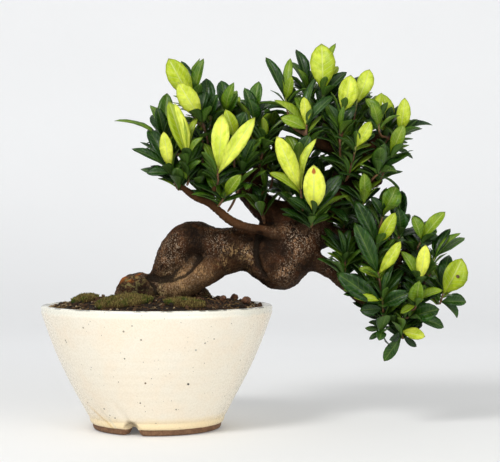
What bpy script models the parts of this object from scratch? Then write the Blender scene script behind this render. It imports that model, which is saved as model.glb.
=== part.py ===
"""A small bonsai that leans out over a round, glazed pot.

All lengths below are in millimetres, measured from the middle of the pot's foot on the table, with +Z up
and the front of the tree towards -Y. The mesh builder turns them into metres, and the last step moves
the whole model so that its origin lies under the middle of its bounding box.
"""

import math
import random
from collections import namedtuple

import bmesh
import bpy
from mathutils import Matrix, Vector, noise
from mathutils.bvhtree import BVHTree

MM = 0.001
CLEARANCE = 0.35

# Pot: a thrown cone with a slight belly, on a bare foot ring.
MOUTH_RADIUS = 75.0
POT_HEIGHT = 79.7
POT_WALL = 5.0
POT_BELLY = 2.3
FOOT_RADIUS = 42.0
FOOT_BEVEL = 1.5
FOOT_RING_WIDTH = 8.0
FOOT_RECESS = 3.6
POT_FLOOR = 6.0
RIM_BAND = 6.5
RIM_ROUND = 1.4
DRAIN_RADIUS = 8.0
NOTCH_COUNT = 3
NOTCH_WIDTH = 10.0
NOTCH_HEIGHT = 3.0
NOTCH_TURN = 252.0
POT_STEPS = 40

# Drainage mesh over the hole, and the wire clip that holds it.
MESH_RADIUS = 13.0
MESH_THICKNESS = 1.0
MESH_HOLE = 2.6
MESH_PITCH = 4.6
CLIP_WIRE = 1.2
CLIP_SPAN = 9.0
CLIP_LEG = 3.2

# Soil: its edge lies just under the rim, and it is heaped towards the middle.
SOIL_DROP = 2.2
SOIL_CROWN = 6.8
SOIL_RINGS = 6
SOIL_ROUGHNESS = 0.5
SOIL_GRAIN = 6.0

# Wood.
DRAWN_RIM = 79.7
WOOD_VOXEL = 1.5
WOOD_TRIANGLES = 2800
WOOD_SWELL = 1.06
WOOD_SKIN = 0.3
POCKET_CLEARANCE = 0.45

# Shoots and leaves.
STEM_FOOT_RADIUS = 1.15
STEM_TIP_RADIUS = 0.8
LEVEL_HEIGHT = 2.8
LEAF_THICKNESS = 0.7
LEAF_SHOULDER = 0.38
LEAF_CHEST = 0.70
PLAIN_CHEST = 0.55
LEAF_SPACE = 0.44
STALK_SHARE = 0.22
STEM_GAP = 0.35
GOLDEN_ANGLE = math.radians(137.5)
SEED = 11


# ---------------------------------------------------------------- scene, materials and meshes

def clear_scene():
    for obj in list(bpy.data.objects):
        bpy.data.objects.remove(obj, do_unlink=True)


def material(name, colour, roughness, metallic=0.0):
    made = bpy.data.materials.new(name)
    made.use_nodes = True
    shader = made.node_tree.nodes["Principled BSDF"]
    shader.inputs["Base Color"].default_value = (*colour, 1.0)
    shader.inputs["Roughness"].default_value = roughness
    shader.inputs["Metallic"].default_value = metallic
    made.diffuse_color = (*colour, 1.0)
    return made


def object_from(name, mesh, finish, smooth_angle=50):
    """An object in the scene, from a mesh that is already in metres."""
    mesh.materials.clear()
    mesh.materials.append(finish)
    mesh.shade_smooth()
    mesh.set_sharp_from_angle(angle=math.radians(smooth_angle))
    made = bpy.data.objects.new(name, mesh)
    bpy.context.scene.collection.objects.link(made)
    return made


def mesh_from(name, points, faces):
    """A triangulated mesh in metres, from points in millimetres."""
    mesh = bpy.data.meshes.new(name)
    mesh.from_pydata([Vector(p) * MM for p in points], [], faces)
    bm = bmesh.new()
    bm.from_mesh(mesh)
    bmesh.ops.triangulate(bm, faces=bm.faces)
    bm.to_mesh(mesh)
    bm.free()
    return mesh


def turned(name, profile, steps):
    """The closed body that a profile of (radius, height) points makes around the Z axis."""
    bm = bmesh.new()
    points = [bm.verts.new((r * MM, 0, z * MM)) for r, z in profile]
    on_axis = profile[0][0] == 0
    edges = [bm.edges.new(pair) for pair in zip(points, points[1:])]
    if not on_axis:
        edges.append(bm.edges.new((points[-1], points[0])))
    bmesh.ops.spin(bm, geom=points + edges, axis=(0, 0, 1), cent=(0, 0, 0), angle=2 * math.pi,
                   steps=steps, use_merge=True)
    bmesh.ops.remove_doubles(bm, verts=bm.verts, dist=1e-6)
    bmesh.ops.recalc_face_normals(bm, faces=bm.faces)
    bmesh.ops.triangulate(bm, faces=bm.faces)
    mesh = bpy.data.meshes.new(name)
    bm.to_mesh(mesh)
    bm.free()
    return mesh


def baked(obj):
    """Gives the object the mesh that its modifiers make, and takes the modifiers away."""
    graph = bpy.context.evaluated_depsgraph_get()
    mesh = bpy.data.meshes.new_from_object(obj.evaluated_get(graph))
    obj.modifiers.clear()
    obj.data = mesh
    return obj


def cut_away(obj, cutter):
    cut = obj.modifiers.new("Cut", "BOOLEAN")
    cut.operation = "DIFFERENCE"
    cut.use_self = True
    cut.object = cutter
    baked(obj)
    bpy.data.objects.remove(cutter, do_unlink=True)


def surface_of(obj):
    """A search tree of the object's surface, in millimetres."""
    points = [v.co / MM for v in obj.data.vertices]
    return BVHTree.FromPolygons(points, [tuple(p.vertices) for p in obj.data.polygons])


# ---------------------------------------------------------------- pot

def pot_outer_radius(z):
    """The outer radius of the glazed wall, from the foot to the start of the rim band."""
    t = (z - FOOT_BEVEL) / (POT_HEIGHT - RIM_BAND - FOOT_BEVEL)
    return FOOT_RADIUS + (MOUTH_RADIUS - 0.5 - FOOT_RADIUS) * t + POT_BELLY * math.sin(math.pi * t)


def pot_inner_radius(z):
    straight = POT_HEIGHT - RIM_BAND
    outer = pot_outer_radius(z) if z < straight else MOUTH_RADIUS - 0.5
    return outer - POT_WALL


def wall_heights():
    """The heights at which the inner wall turns, shared by the pot and the soil that fills it."""
    low = pot_floor_top() + 2.0
    straight = POT_HEIGHT - RIM_BAND
    return [low + (straight - low) * i / 3 for i in range(4)]


def pot_floor_top():
    return FOOT_RECESS + POT_FLOOR


def pot_profile():
    straight = POT_HEIGHT - RIM_BAND
    ring_inner = FOOT_RADIUS - FOOT_RING_WIDTH
    outer = [(FOOT_RADIUS - FOOT_BEVEL, 0), (FOOT_RADIUS, FOOT_BEVEL)]
    outer += [(pot_outer_radius(z), z) for z in (8.5, 25.0, 45.0, 62.0) if z < straight]
    outer += [(MOUTH_RADIUS - 0.5, straight), (MOUTH_RADIUS, POT_HEIGHT - RIM_ROUND)]
    rim = [(MOUTH_RADIUS - RIM_ROUND, POT_HEIGHT), (MOUTH_RADIUS - POT_WALL + RIM_ROUND, POT_HEIGHT)]
    rim.append((MOUTH_RADIUS - POT_WALL, POT_HEIGHT - RIM_ROUND))
    inner = [(pot_inner_radius(z), z) for z in reversed(wall_heights())]
    floor = [(inner[-1][0] - 3.0, pot_floor_top()), (DRAIN_RADIUS, pot_floor_top())]
    under = [(DRAIN_RADIUS, FOOT_RECESS), (ring_inner, FOOT_RECESS), (ring_inner, 0)]
    return outer + rim + inner + floor + under


def make_notch_cutter():
    """Wedges that pinch the foot ring open, so that water runs out from under the pot."""
    inner = FOOT_RADIUS - FOOT_RING_WIDTH - 4.0
    outer = FOOT_RADIUS + 6.0
    half = NOTCH_WIDTH / 2
    section = [(-half, -1.0), (half, -1.0), (half * 0.35, NOTCH_HEIGHT), (-half * 0.35, NOTCH_HEIGHT)]
    points = []
    faces = []
    for i in range(NOTCH_COUNT):
        turn = Matrix.Rotation(math.radians(NOTCH_TURN + 360.0 * i / NOTCH_COUNT), 3, "Z")
        first = len(points)
        for x in (inner, outer):
            points += [turn @ Vector((x, y, z)) for y, z in section]
        faces += [(first + 3, first + 2, first + 1, first), (first + 4, first + 5, first + 6, first + 7)]
        faces += [(first + a, first + b, first + b + 4, first + a + 4)
                  for a, b in ((0, 1), (1, 2), (2, 3), (3, 0))]
    mesh = mesh_from("notch_cutter", points, faces)
    cutter = bpy.data.objects.new("notch_cutter", mesh)
    cutter.hide_render = True
    cutter.display_type = "WIRE"
    bpy.context.scene.collection.objects.link(cutter)
    return cutter


def make_pot():
    glaze = material("glaze", (0.80, 0.74, 0.58), 0.32)
    pot = object_from("pot", turned("pot", pot_profile(), POT_STEPS), glaze, 40)
    cut_away(pot, make_notch_cutter())
    return pot


# ---------------------------------------------------------------- drainage mesh and clip

def make_drainage_mesh():
    """A disc of plastic grid: a plate with rows of square holes, wide enough to cover the drain."""
    bottom = pot_floor_top() + CLEARANCE
    bm = bmesh.new()
    bmesh.ops.create_cone(bm, cap_ends=True, segments=24, radius1=MESH_RADIUS * MM,
                          radius2=MESH_RADIUS * MM, depth=MESH_THICKNESS * MM)
    bmesh.ops.translate(bm, verts=bm.verts, vec=(0, 0, (bottom + MESH_THICKNESS / 2) * MM))
    plate = bpy.data.meshes.new("drainage_mesh")
    bm.to_mesh(plate)
    bm.free()
    plastic = material("black_plastic", (0.02, 0.02, 0.022), 0.55)
    disc = object_from("drainage_mesh", plate, plastic)

    holes = bmesh.new()
    steps = int(MESH_RADIUS / MESH_PITCH)
    for i in range(-steps, steps + 1):
        for j in range(-steps, steps + 1):
            if math.hypot(i, j) * MESH_PITCH + MESH_HOLE > MESH_RADIUS - 0.8:
                continue
            place = Matrix.Translation((i * MESH_PITCH * MM, j * MESH_PITCH * MM, bottom * MM))
            size = Matrix.Diagonal((MESH_HOLE * MM, MESH_HOLE * MM, 6 * MESH_THICKNESS * MM, 1))
            bmesh.ops.create_cube(holes, size=1.0, matrix=place @ size)
    cutter_mesh = bpy.data.meshes.new("hole_cutter")
    holes.to_mesh(cutter_mesh)
    holes.free()
    cutter = bpy.data.objects.new("hole_cutter", cutter_mesh)
    bpy.context.scene.collection.objects.link(cutter)
    cut_away(disc, cutter)
    return disc


def make_mesh_clip():
    """One bent wire: across the mesh, and down through two of its holes into the drain hole."""
    top = pot_floor_top() + 2 * CLEARANCE + MESH_THICKNESS + CLIP_WIRE / 2
    half = CLIP_SPAN / 2
    end = pot_floor_top() - CLIP_LEG
    route = [(-half, 0, end), (-half, 0, top), (half, 0, top), (half, 0, end)]
    rings = 6
    points = []
    faces = []
    directions = [Vector((0, 0, 1)), Vector((1, 0, 1)), Vector((1, 0, -1)), Vector((0, 0, -1))]
    for centre, direction in zip(route, directions):
        direction.normalize()
        side = Vector((0, 1, 0))
        across = direction.cross(side)
        stretch = 1.0 if abs(direction.x) < 0.1 else math.sqrt(2)
        for k in range(rings):
            angle = 2 * math.pi * k / rings
            points.append(Vector(centre) + CLIP_WIRE / 2 * (
                math.cos(angle) * side - stretch * math.sin(angle) * across))
    for i in range(len(route) - 1):
        for k in range(rings):
            a = i * rings + k
            b = i * rings + (k + 1) % rings
            faces.append((a, b, b + rings, a + rings))
    faces.append(tuple(reversed(range(rings))))
    faces.append(tuple(range(3 * rings, 4 * rings)))
    steel = material("clip_wire", (0.35, 0.30, 0.26), 0.4, 1.0)
    clip = object_from("mesh_clip", mesh_from("mesh_clip", points, faces), steel)
    bm = bmesh.new()
    bm.from_mesh(clip.data)
    bmesh.ops.recalc_face_normals(bm, faces=bm.faces)
    bm.to_mesh(clip.data)
    bm.free()
    return clip


# ---------------------------------------------------------------- wood

# Each limb is a run of (x, y, z, radius) through the middle of the wood, drawn over a rim at DRAWN_RIM.
LIMBS = {
    "root knob": ((-13, -2, 74, 11), (-13.5, -2, 82, 12.8), (-13.5, -2, 88.8, 12.8), (-5, -3, 87.5, 9.5),
                  (3, -5, 88, 8)),
    "lower limb": ((3, -6, 88, 7), (12, -7, 90, 7.3), (20, -8, 94, 8), (27, -8, 98.5, 8.8),
                   (34, -6, 102.7, 8.8), (44, -3, 109, 9), (56, -1, 113, 10.3)),
    "upper limb": ((2, 4, 80, 9), (4, 4, 93, 8.5), (7, 2, 104, 9), (10.5, 1, 112, 9.8), (15.5, 0, 118.3, 10.9),
                   (21.5, 0, 122, 11.5), (28, 0, 120.8, 11.4), (35, 0, 117.4, 11.2), (45, 0, 116, 12.8),
                   (55, 0, 116, 13.3), (66, 0, 117, 13.4), (78, 0, 118, 14), (90, 0, 119, 15)),
    "web": ((6, 4, 99, 6), (16, 3, 105, 8), (26, 1, 109, 9.5), (36, 0, 112, 10)),
    "side root": ((29, 6, 79, 5), (31, 10, 80, 5.5), (24, 12, 88, 6.5), (15, 8, 97, 7)),
    "hip": ((64, -2, 110, 10.5), (72.5, -4, 105.6, 12), (80, -4, 103.8, 14.3), (90.5, -2, 111, 12)),
    "shoulder": ((90, 0, 119, 15.5), (87, 0, 130, 11), (84, 2, 139, 8)),
    "left high": ((88, 0, 126, 10), (78, 3, 136, 9), (68, 3, 144, 8), (60, 1, 152, 7), (52, -1, 162, 6),
                  (47, -3, 173, 5), (43, -5, 182, 4), (41, -6, 188, 3)),
    "left high, outward": ((53, -1, 161, 5), (41, -6, 168, 4), (29, -9, 174, 3.2), (16, -9, 180, 2.4)),
    "left high, inward": ((61, 1, 151, 5.5), (66, -2, 163, 4.4), (68, -4, 177, 3.3), (66, -5, 190, 2.4)),
    "left high, behind": ((60, 2, 152, 5.5), (52, 16, 165, 4.2), (40, 24, 176, 3.2), (28, 26, 182, 2.4)),
    "left low": ((86, -6, 124, 6.5), (78, -14, 126, 4), (68, -18, 128, 2.9), (56, -21, 130.5, 2.7),
                 (48, -22, 134, 2.6), (41, -22, 139.5, 2.5), (34, -22, 145.5, 2.5), (26, -23, 149, 2.3),
                 (20, -24, 153, 2.2), (17, -24, 156, 2.1)),
    "left low, fork": ((34, -22, 145, 2.2), (36, -24, 150, 2), (38, -26, 155, 1.9)),
    "leader": ((92, 0, 124, 12), (102, 0, 133, 9.5), (110, -2, 142, 8), (117, -4, 152, 7),
               (121, -6, 162, 6.5), (121, -8, 172, 5.5), (117, -8, 182, 4.6), (112, -8, 192, 3.6),
               (109, -8, 201, 2.6)),
    "leader, left": ((119, -8, 177, 4.4), (110, -14, 181, 3.4), (102, -18, 185, 2.8), (98, -21, 189, 2.2)),
    "leader, right": ((121, -8, 168, 5), (130, -9, 174, 4), (138, -10, 181, 3.1), (142, -12, 188, 2.4)),
    "leader, low": ((120, -6, 158, 4.6), (129, -9, 157, 3.6), (137, -12, 157, 3), (144, -14, 160, 2.4)),
    "leader, behind": ((121, -3, 162, 5), (119, 12, 173, 4), (116, 22, 184, 3.1), (112, 26, 192, 2.4)),
    "leader, far": ((119, 12, 172, 4), (129, 18, 176, 3.1), (139, 20, 180, 2.4)),
    "front spur": ((92, -6, 125, 6), (95, -15, 130, 4), (96, -22, 135, 2.8), (94, -26, 141, 2.2)),
    "cascade": ((92, 0, 113, 9), (99, -2, 109, 6.5), (107, -4, 105.6, 5.4), (115, -6, 100.6, 5),
                (122, -8, 93.5, 4.2), (130, -10, 85.5, 3.4), (138, -11, 78, 2.9), (145, -12, 73, 2.5),
                (150, -12, 70, 2.2)),
    "cascade, high": ((100, 0, 122, 8), (112, 2, 124, 6), (125, 2, 122, 5), (138, 0, 116, 4.2),
                      (150, -4, 108, 3.6), (160, -8, 100, 3), (169, -10, 93, 2.6), (176, -12, 87, 2.2)),
    "cascade, crown": ((125, 2, 122, 4.2), (135, -2, 128, 3.4), (143, -5, 134, 2.6)),
    "cascade, tip": ((150, -4, 108, 3.4), (160, -5, 113, 2.7), (167, -7, 116, 2.2)),
    "cascade, inside": ((138, 0, 115, 3.8), (147, -8, 102, 3.1), (153, -14, 91, 2.6), (158, -17, 82, 2.2)),
    "cascade, behind": ((112, 2, 124, 5), (124, 13, 116, 4), (140, 18, 106, 3.2), (154, 17, 96, 2.5)),
}


def smooth_run(points, spacing):
    """Points about `spacing` apart on a Catmull-Rom curve through (x, y, z, radius) points."""
    knots = [Vector((x, y, z, r * WOOD_SWELL + WOOD_SKIN)) for x, y, z, r in points]
    knots = [2 * knots[0] - knots[1]] + knots + [2 * knots[-1] - knots[-2]]
    run = []
    for a, b, c, d in zip(knots, knots[1:], knots[2:], knots[3:]):
        count = max(2, round((c.xyz - b.xyz).length / spacing))
        for i in range(count):
            t = i / count
            run.append(0.5 * (2 * b + (c - a) * t + (2 * a - 5 * b + 4 * c - d) * t ** 2
                              + (3 * b - a - 3 * c + d) * t ** 3))
    run.append(knots[-2])
    return run


def tube(points, faces, run, sides=14):
    """Adds a round-ended tube along a run of (x, y, z, radius) to lists of points and faces."""
    first = len(points)
    ahead = run[1].xyz - run[0].xyz
    side = ahead.orthogonal().normalized()
    stations = []
    for i, here in enumerate(run):
        before = run[max(i - 1, 0)].xyz
        after = run[min(i + 1, len(run) - 1)].xyz
        forward = (after - before).normalized()
        side = (side - forward * side.dot(forward)).normalized()
        stations.append((here.xyz, forward, side.copy(), here.w))
    start = stations[0]
    end = stations[-1]
    caps = (0.35, 0.8)
    opening = [(start[0] - start[1] * start[3] * math.cos(c), start[1], start[2], start[3] * math.sin(c))
               for c in caps]
    closing = [(end[0] + end[1] * end[3] * math.cos(c), end[1], end[2], end[3] * math.sin(c))
               for c in reversed(caps)]
    stations = opening + stations + closing
    for centre, forward, side, radius in stations:
        up = forward.cross(side)
        for k in range(sides):
            angle = 2 * math.pi * k / sides
            points.append(centre + radius * (math.cos(angle) * side + math.sin(angle) * up))
    for i in range(len(stations) - 1):
        for k in range(sides):
            a = first + i * sides + k
            b = first + i * sides + (k + 1) % sides
            faces.append((a, b, b + sides, a + sides))
    faces.append(tuple(reversed(range(first, first + sides))))
    last = first + (len(stations) - 1) * sides
    faces.append(tuple(range(last, last + sides)))


def make_wood():
    """Roots, trunk and branches as the one piece they grew as: overlapping tubes made into one skin."""
    points = []
    faces = []
    for limb in LIMBS.values():
        tube(points, faces, smooth_run(limb, 3.0))
    bark = material("bark", (0.16, 0.10, 0.06), 0.85)
    wood = object_from("trunk_and_branches", mesh_from("wood", points, faces), bark, 70)
    skin = wood.modifiers.new("One skin", "REMESH")
    skin.mode = "VOXEL"
    skin.voxel_size = WOOD_VOXEL * MM
    baked(wood)
    ease = wood.modifiers.new("Ease", "SMOOTH")
    ease.factor = 0.5
    ease.iterations = 2
    baked(wood)
    thin = wood.modifiers.new("Fewer faces", "DECIMATE")
    thin.ratio = WOOD_TRIANGLES / (2 * len(wood.data.polygons))
    thin.use_collapse_triangulate = True
    baked(wood)
    return wood


# ---------------------------------------------------------------- soil and what lies on it

def soil_top(radius):
    edge = pot_inner_radius(POT_HEIGHT) - CLEARANCE
    return POT_HEIGHT - SOIL_DROP + SOIL_CROWN * max(0.0, 1 - (radius / edge) ** 2.4)


def make_soil(wood):
    edge = pot_inner_radius(POT_HEIGHT) - CLEARANCE
    top = [(edge * i / SOIL_RINGS, soil_top(edge * i / SOIL_RINGS)) for i in range(SOIL_RINGS + 1)]
    walls = [(pot_inner_radius(z) - CLEARANCE, z) for z in reversed(wall_heights())]
    floor = pot_floor_top() + CLEARANCE
    over_clip = floor + MESH_THICKNESS + CLIP_WIRE + 3 * CLEARANCE
    recess = MESH_RADIUS + 1.0
    base = [(walls[-1][0] - 3.0, floor), (recess, floor), (recess, over_clip), (0, over_clip)]
    mesh = turned("soil", top + walls + base, POT_STEPS)
    edge_height = POT_HEIGHT - SOIL_DROP + 0.2
    for vertex in mesh.vertices:
        if vertex.co.z > edge_height * MM:
            vertex.co.z += SOIL_ROUGHNESS * MM * noise.noise(vertex.co / MM / SOIL_GRAIN)
    earth = material("soil", (0.06, 0.045, 0.03), 0.95)
    soil = object_from("soil", mesh, earth, 60)

    pocket = bpy.data.objects.new("root_pocket", wood.data.copy())
    bpy.context.scene.collection.objects.link(pocket)
    swell = pocket.modifiers.new("Clearance", "DISPLACE")
    swell.mid_level = 0.0
    swell.strength = POCKET_CLEARANCE * MM
    baked(pocket)
    cut_away(soil, pocket)
    return soil


# Moss pads as (name, x, y, half length, half depth, height, turn in degrees), x and y from the pot's axis.
MOSS_PADS = (
    ("moss_front_left", -18, -40, 19, 13, 3.6, 20),
    ("moss_front", 20, -44, 14, 9, 2.6, -12),
    ("moss_left", -46, -8, 9, 14, 3.0, 0),
)

# Stones on the soil as (name, x, y, radius).
STONES = (
    ("surface_stone_1", 58.0, -12.0, 3.2),
    ("surface_stone_2", 43.0, -16.0, 2.4),
    ("surface_stone_3", 50.0, 14.0, 2.8),
)


def make_moss(name, x, y, half_length, half_depth, height, turn, ground):
    """A low cushion whose underside follows the soil."""
    sides = 14
    shares = (0.45, 0.8, 1.0)
    rotation = Matrix.Rotation(math.radians(turn), 3, "Z")
    top = []
    bottom = []

    def soil_under(px, py):
        hit = ground.ray_cast(Vector((px, py, POT_HEIGHT + 40)), Vector((0, 0, -1)))
        return hit[0].z

    places = [(0.0, Vector((x, y, 0)))]
    for share in shares:
        for k in range(sides):
            angle = 2 * math.pi * k / sides
            wobble = 1 + 0.12 * noise.noise(Vector((x + 3 * math.cos(angle), y + 3 * math.sin(angle), 5)))
            reach = Vector((half_length * math.cos(angle), half_depth * math.sin(angle), 0)) * share
            places.append((share, Vector((x, y, 0)) + rotation @ reach * wobble))
    for share, place in places:
        base = soil_under(place.x, place.y) + CLEARANCE + 0.25
        thickness = 0.8 + (height - 0.8) * (1 - share ** 2.5)
        top.append((place.x, place.y, base + thickness))
        bottom.append((place.x, place.y, base))
    faces = []
    count = len(places)
    for k in range(sides):
        after = (k + 1) % sides
        faces.append((0, 1 + k, 1 + after))
        faces.append((count, count + 1 + after, count + 1 + k))
        for ring in range(len(shares) - 1):
            a = 1 + ring * sides + k
            b = 1 + ring * sides + after
            faces.append((a, a + sides, b + sides, b))
            faces.append((count + a, count + b, count + b + sides, count + a + sides))
        rim_a = 1 + (len(shares) - 1) * sides + k
        rim_b = 1 + (len(shares) - 1) * sides + after
        faces.append((rim_a, count + rim_a, count + rim_b, rim_b))
    green = material(name, (0.12, 0.14, 0.03), 0.95)
    return object_from(name, mesh_from(name, top + bottom, faces), green, 60)


def make_stone(name, x, y, radius, ground):
    """A grain of fired clay, slightly angular, on the soil."""
    bm = bmesh.new()
    bmesh.ops.create_icosphere(bm, subdivisions=2, radius=radius)
    for vertex in bm.verts:
        vertex.co *= 1 + 0.16 * noise.noise(vertex.co / 2.5 + Vector((x, y, 0)))
        vertex.co.z *= 0.85
    points = [v.co.copy() for v in bm.verts]
    faces = [tuple(v.index for v in f.verts) for f in bm.faces]
    bm.free()
    rest = POT_HEIGHT + 40.0
    for step in range(400):
        rest -= 0.15
        moved = [p + Vector((x, y, rest)) for p in points]
        if BVHTree.FromPolygons(moved, faces).overlap(ground):
            break
    rest += 0.15 + CLEARANCE
    clay = material(name, (0.23, 0.09, 0.04), 0.9)
    placed = [p + Vector((x, y, rest)) for p in points]
    return object_from(name, mesh_from(name, placed, faces), clay, 60)


# ---------------------------------------------------------------- shoots

# One leaf placed by hand: its tip, its width, how far the blade turns away from the front in degrees,
# and its age from 0 for dark, old leaves to 1 for the youngest.
Leaf = namedtuple("Leaf", "x y z width roll age")

# One shoot: its name, what it grows on, the growing tip, the way it points, the length of stem,
# how many leaves follow the rule, their length and their age, and the leaves placed by hand.
Shoot = namedtuple("Shoot", "name on tip aim reach more length age leaves")


def shoot(name, on, tip, aim, reach, more, length, age, *leaves):
    return Shoot(name, on, tip, aim, reach, more, length, age, tuple(Leaf(*leaf) for leaf in leaves))


WOOD = "wood"

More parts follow.
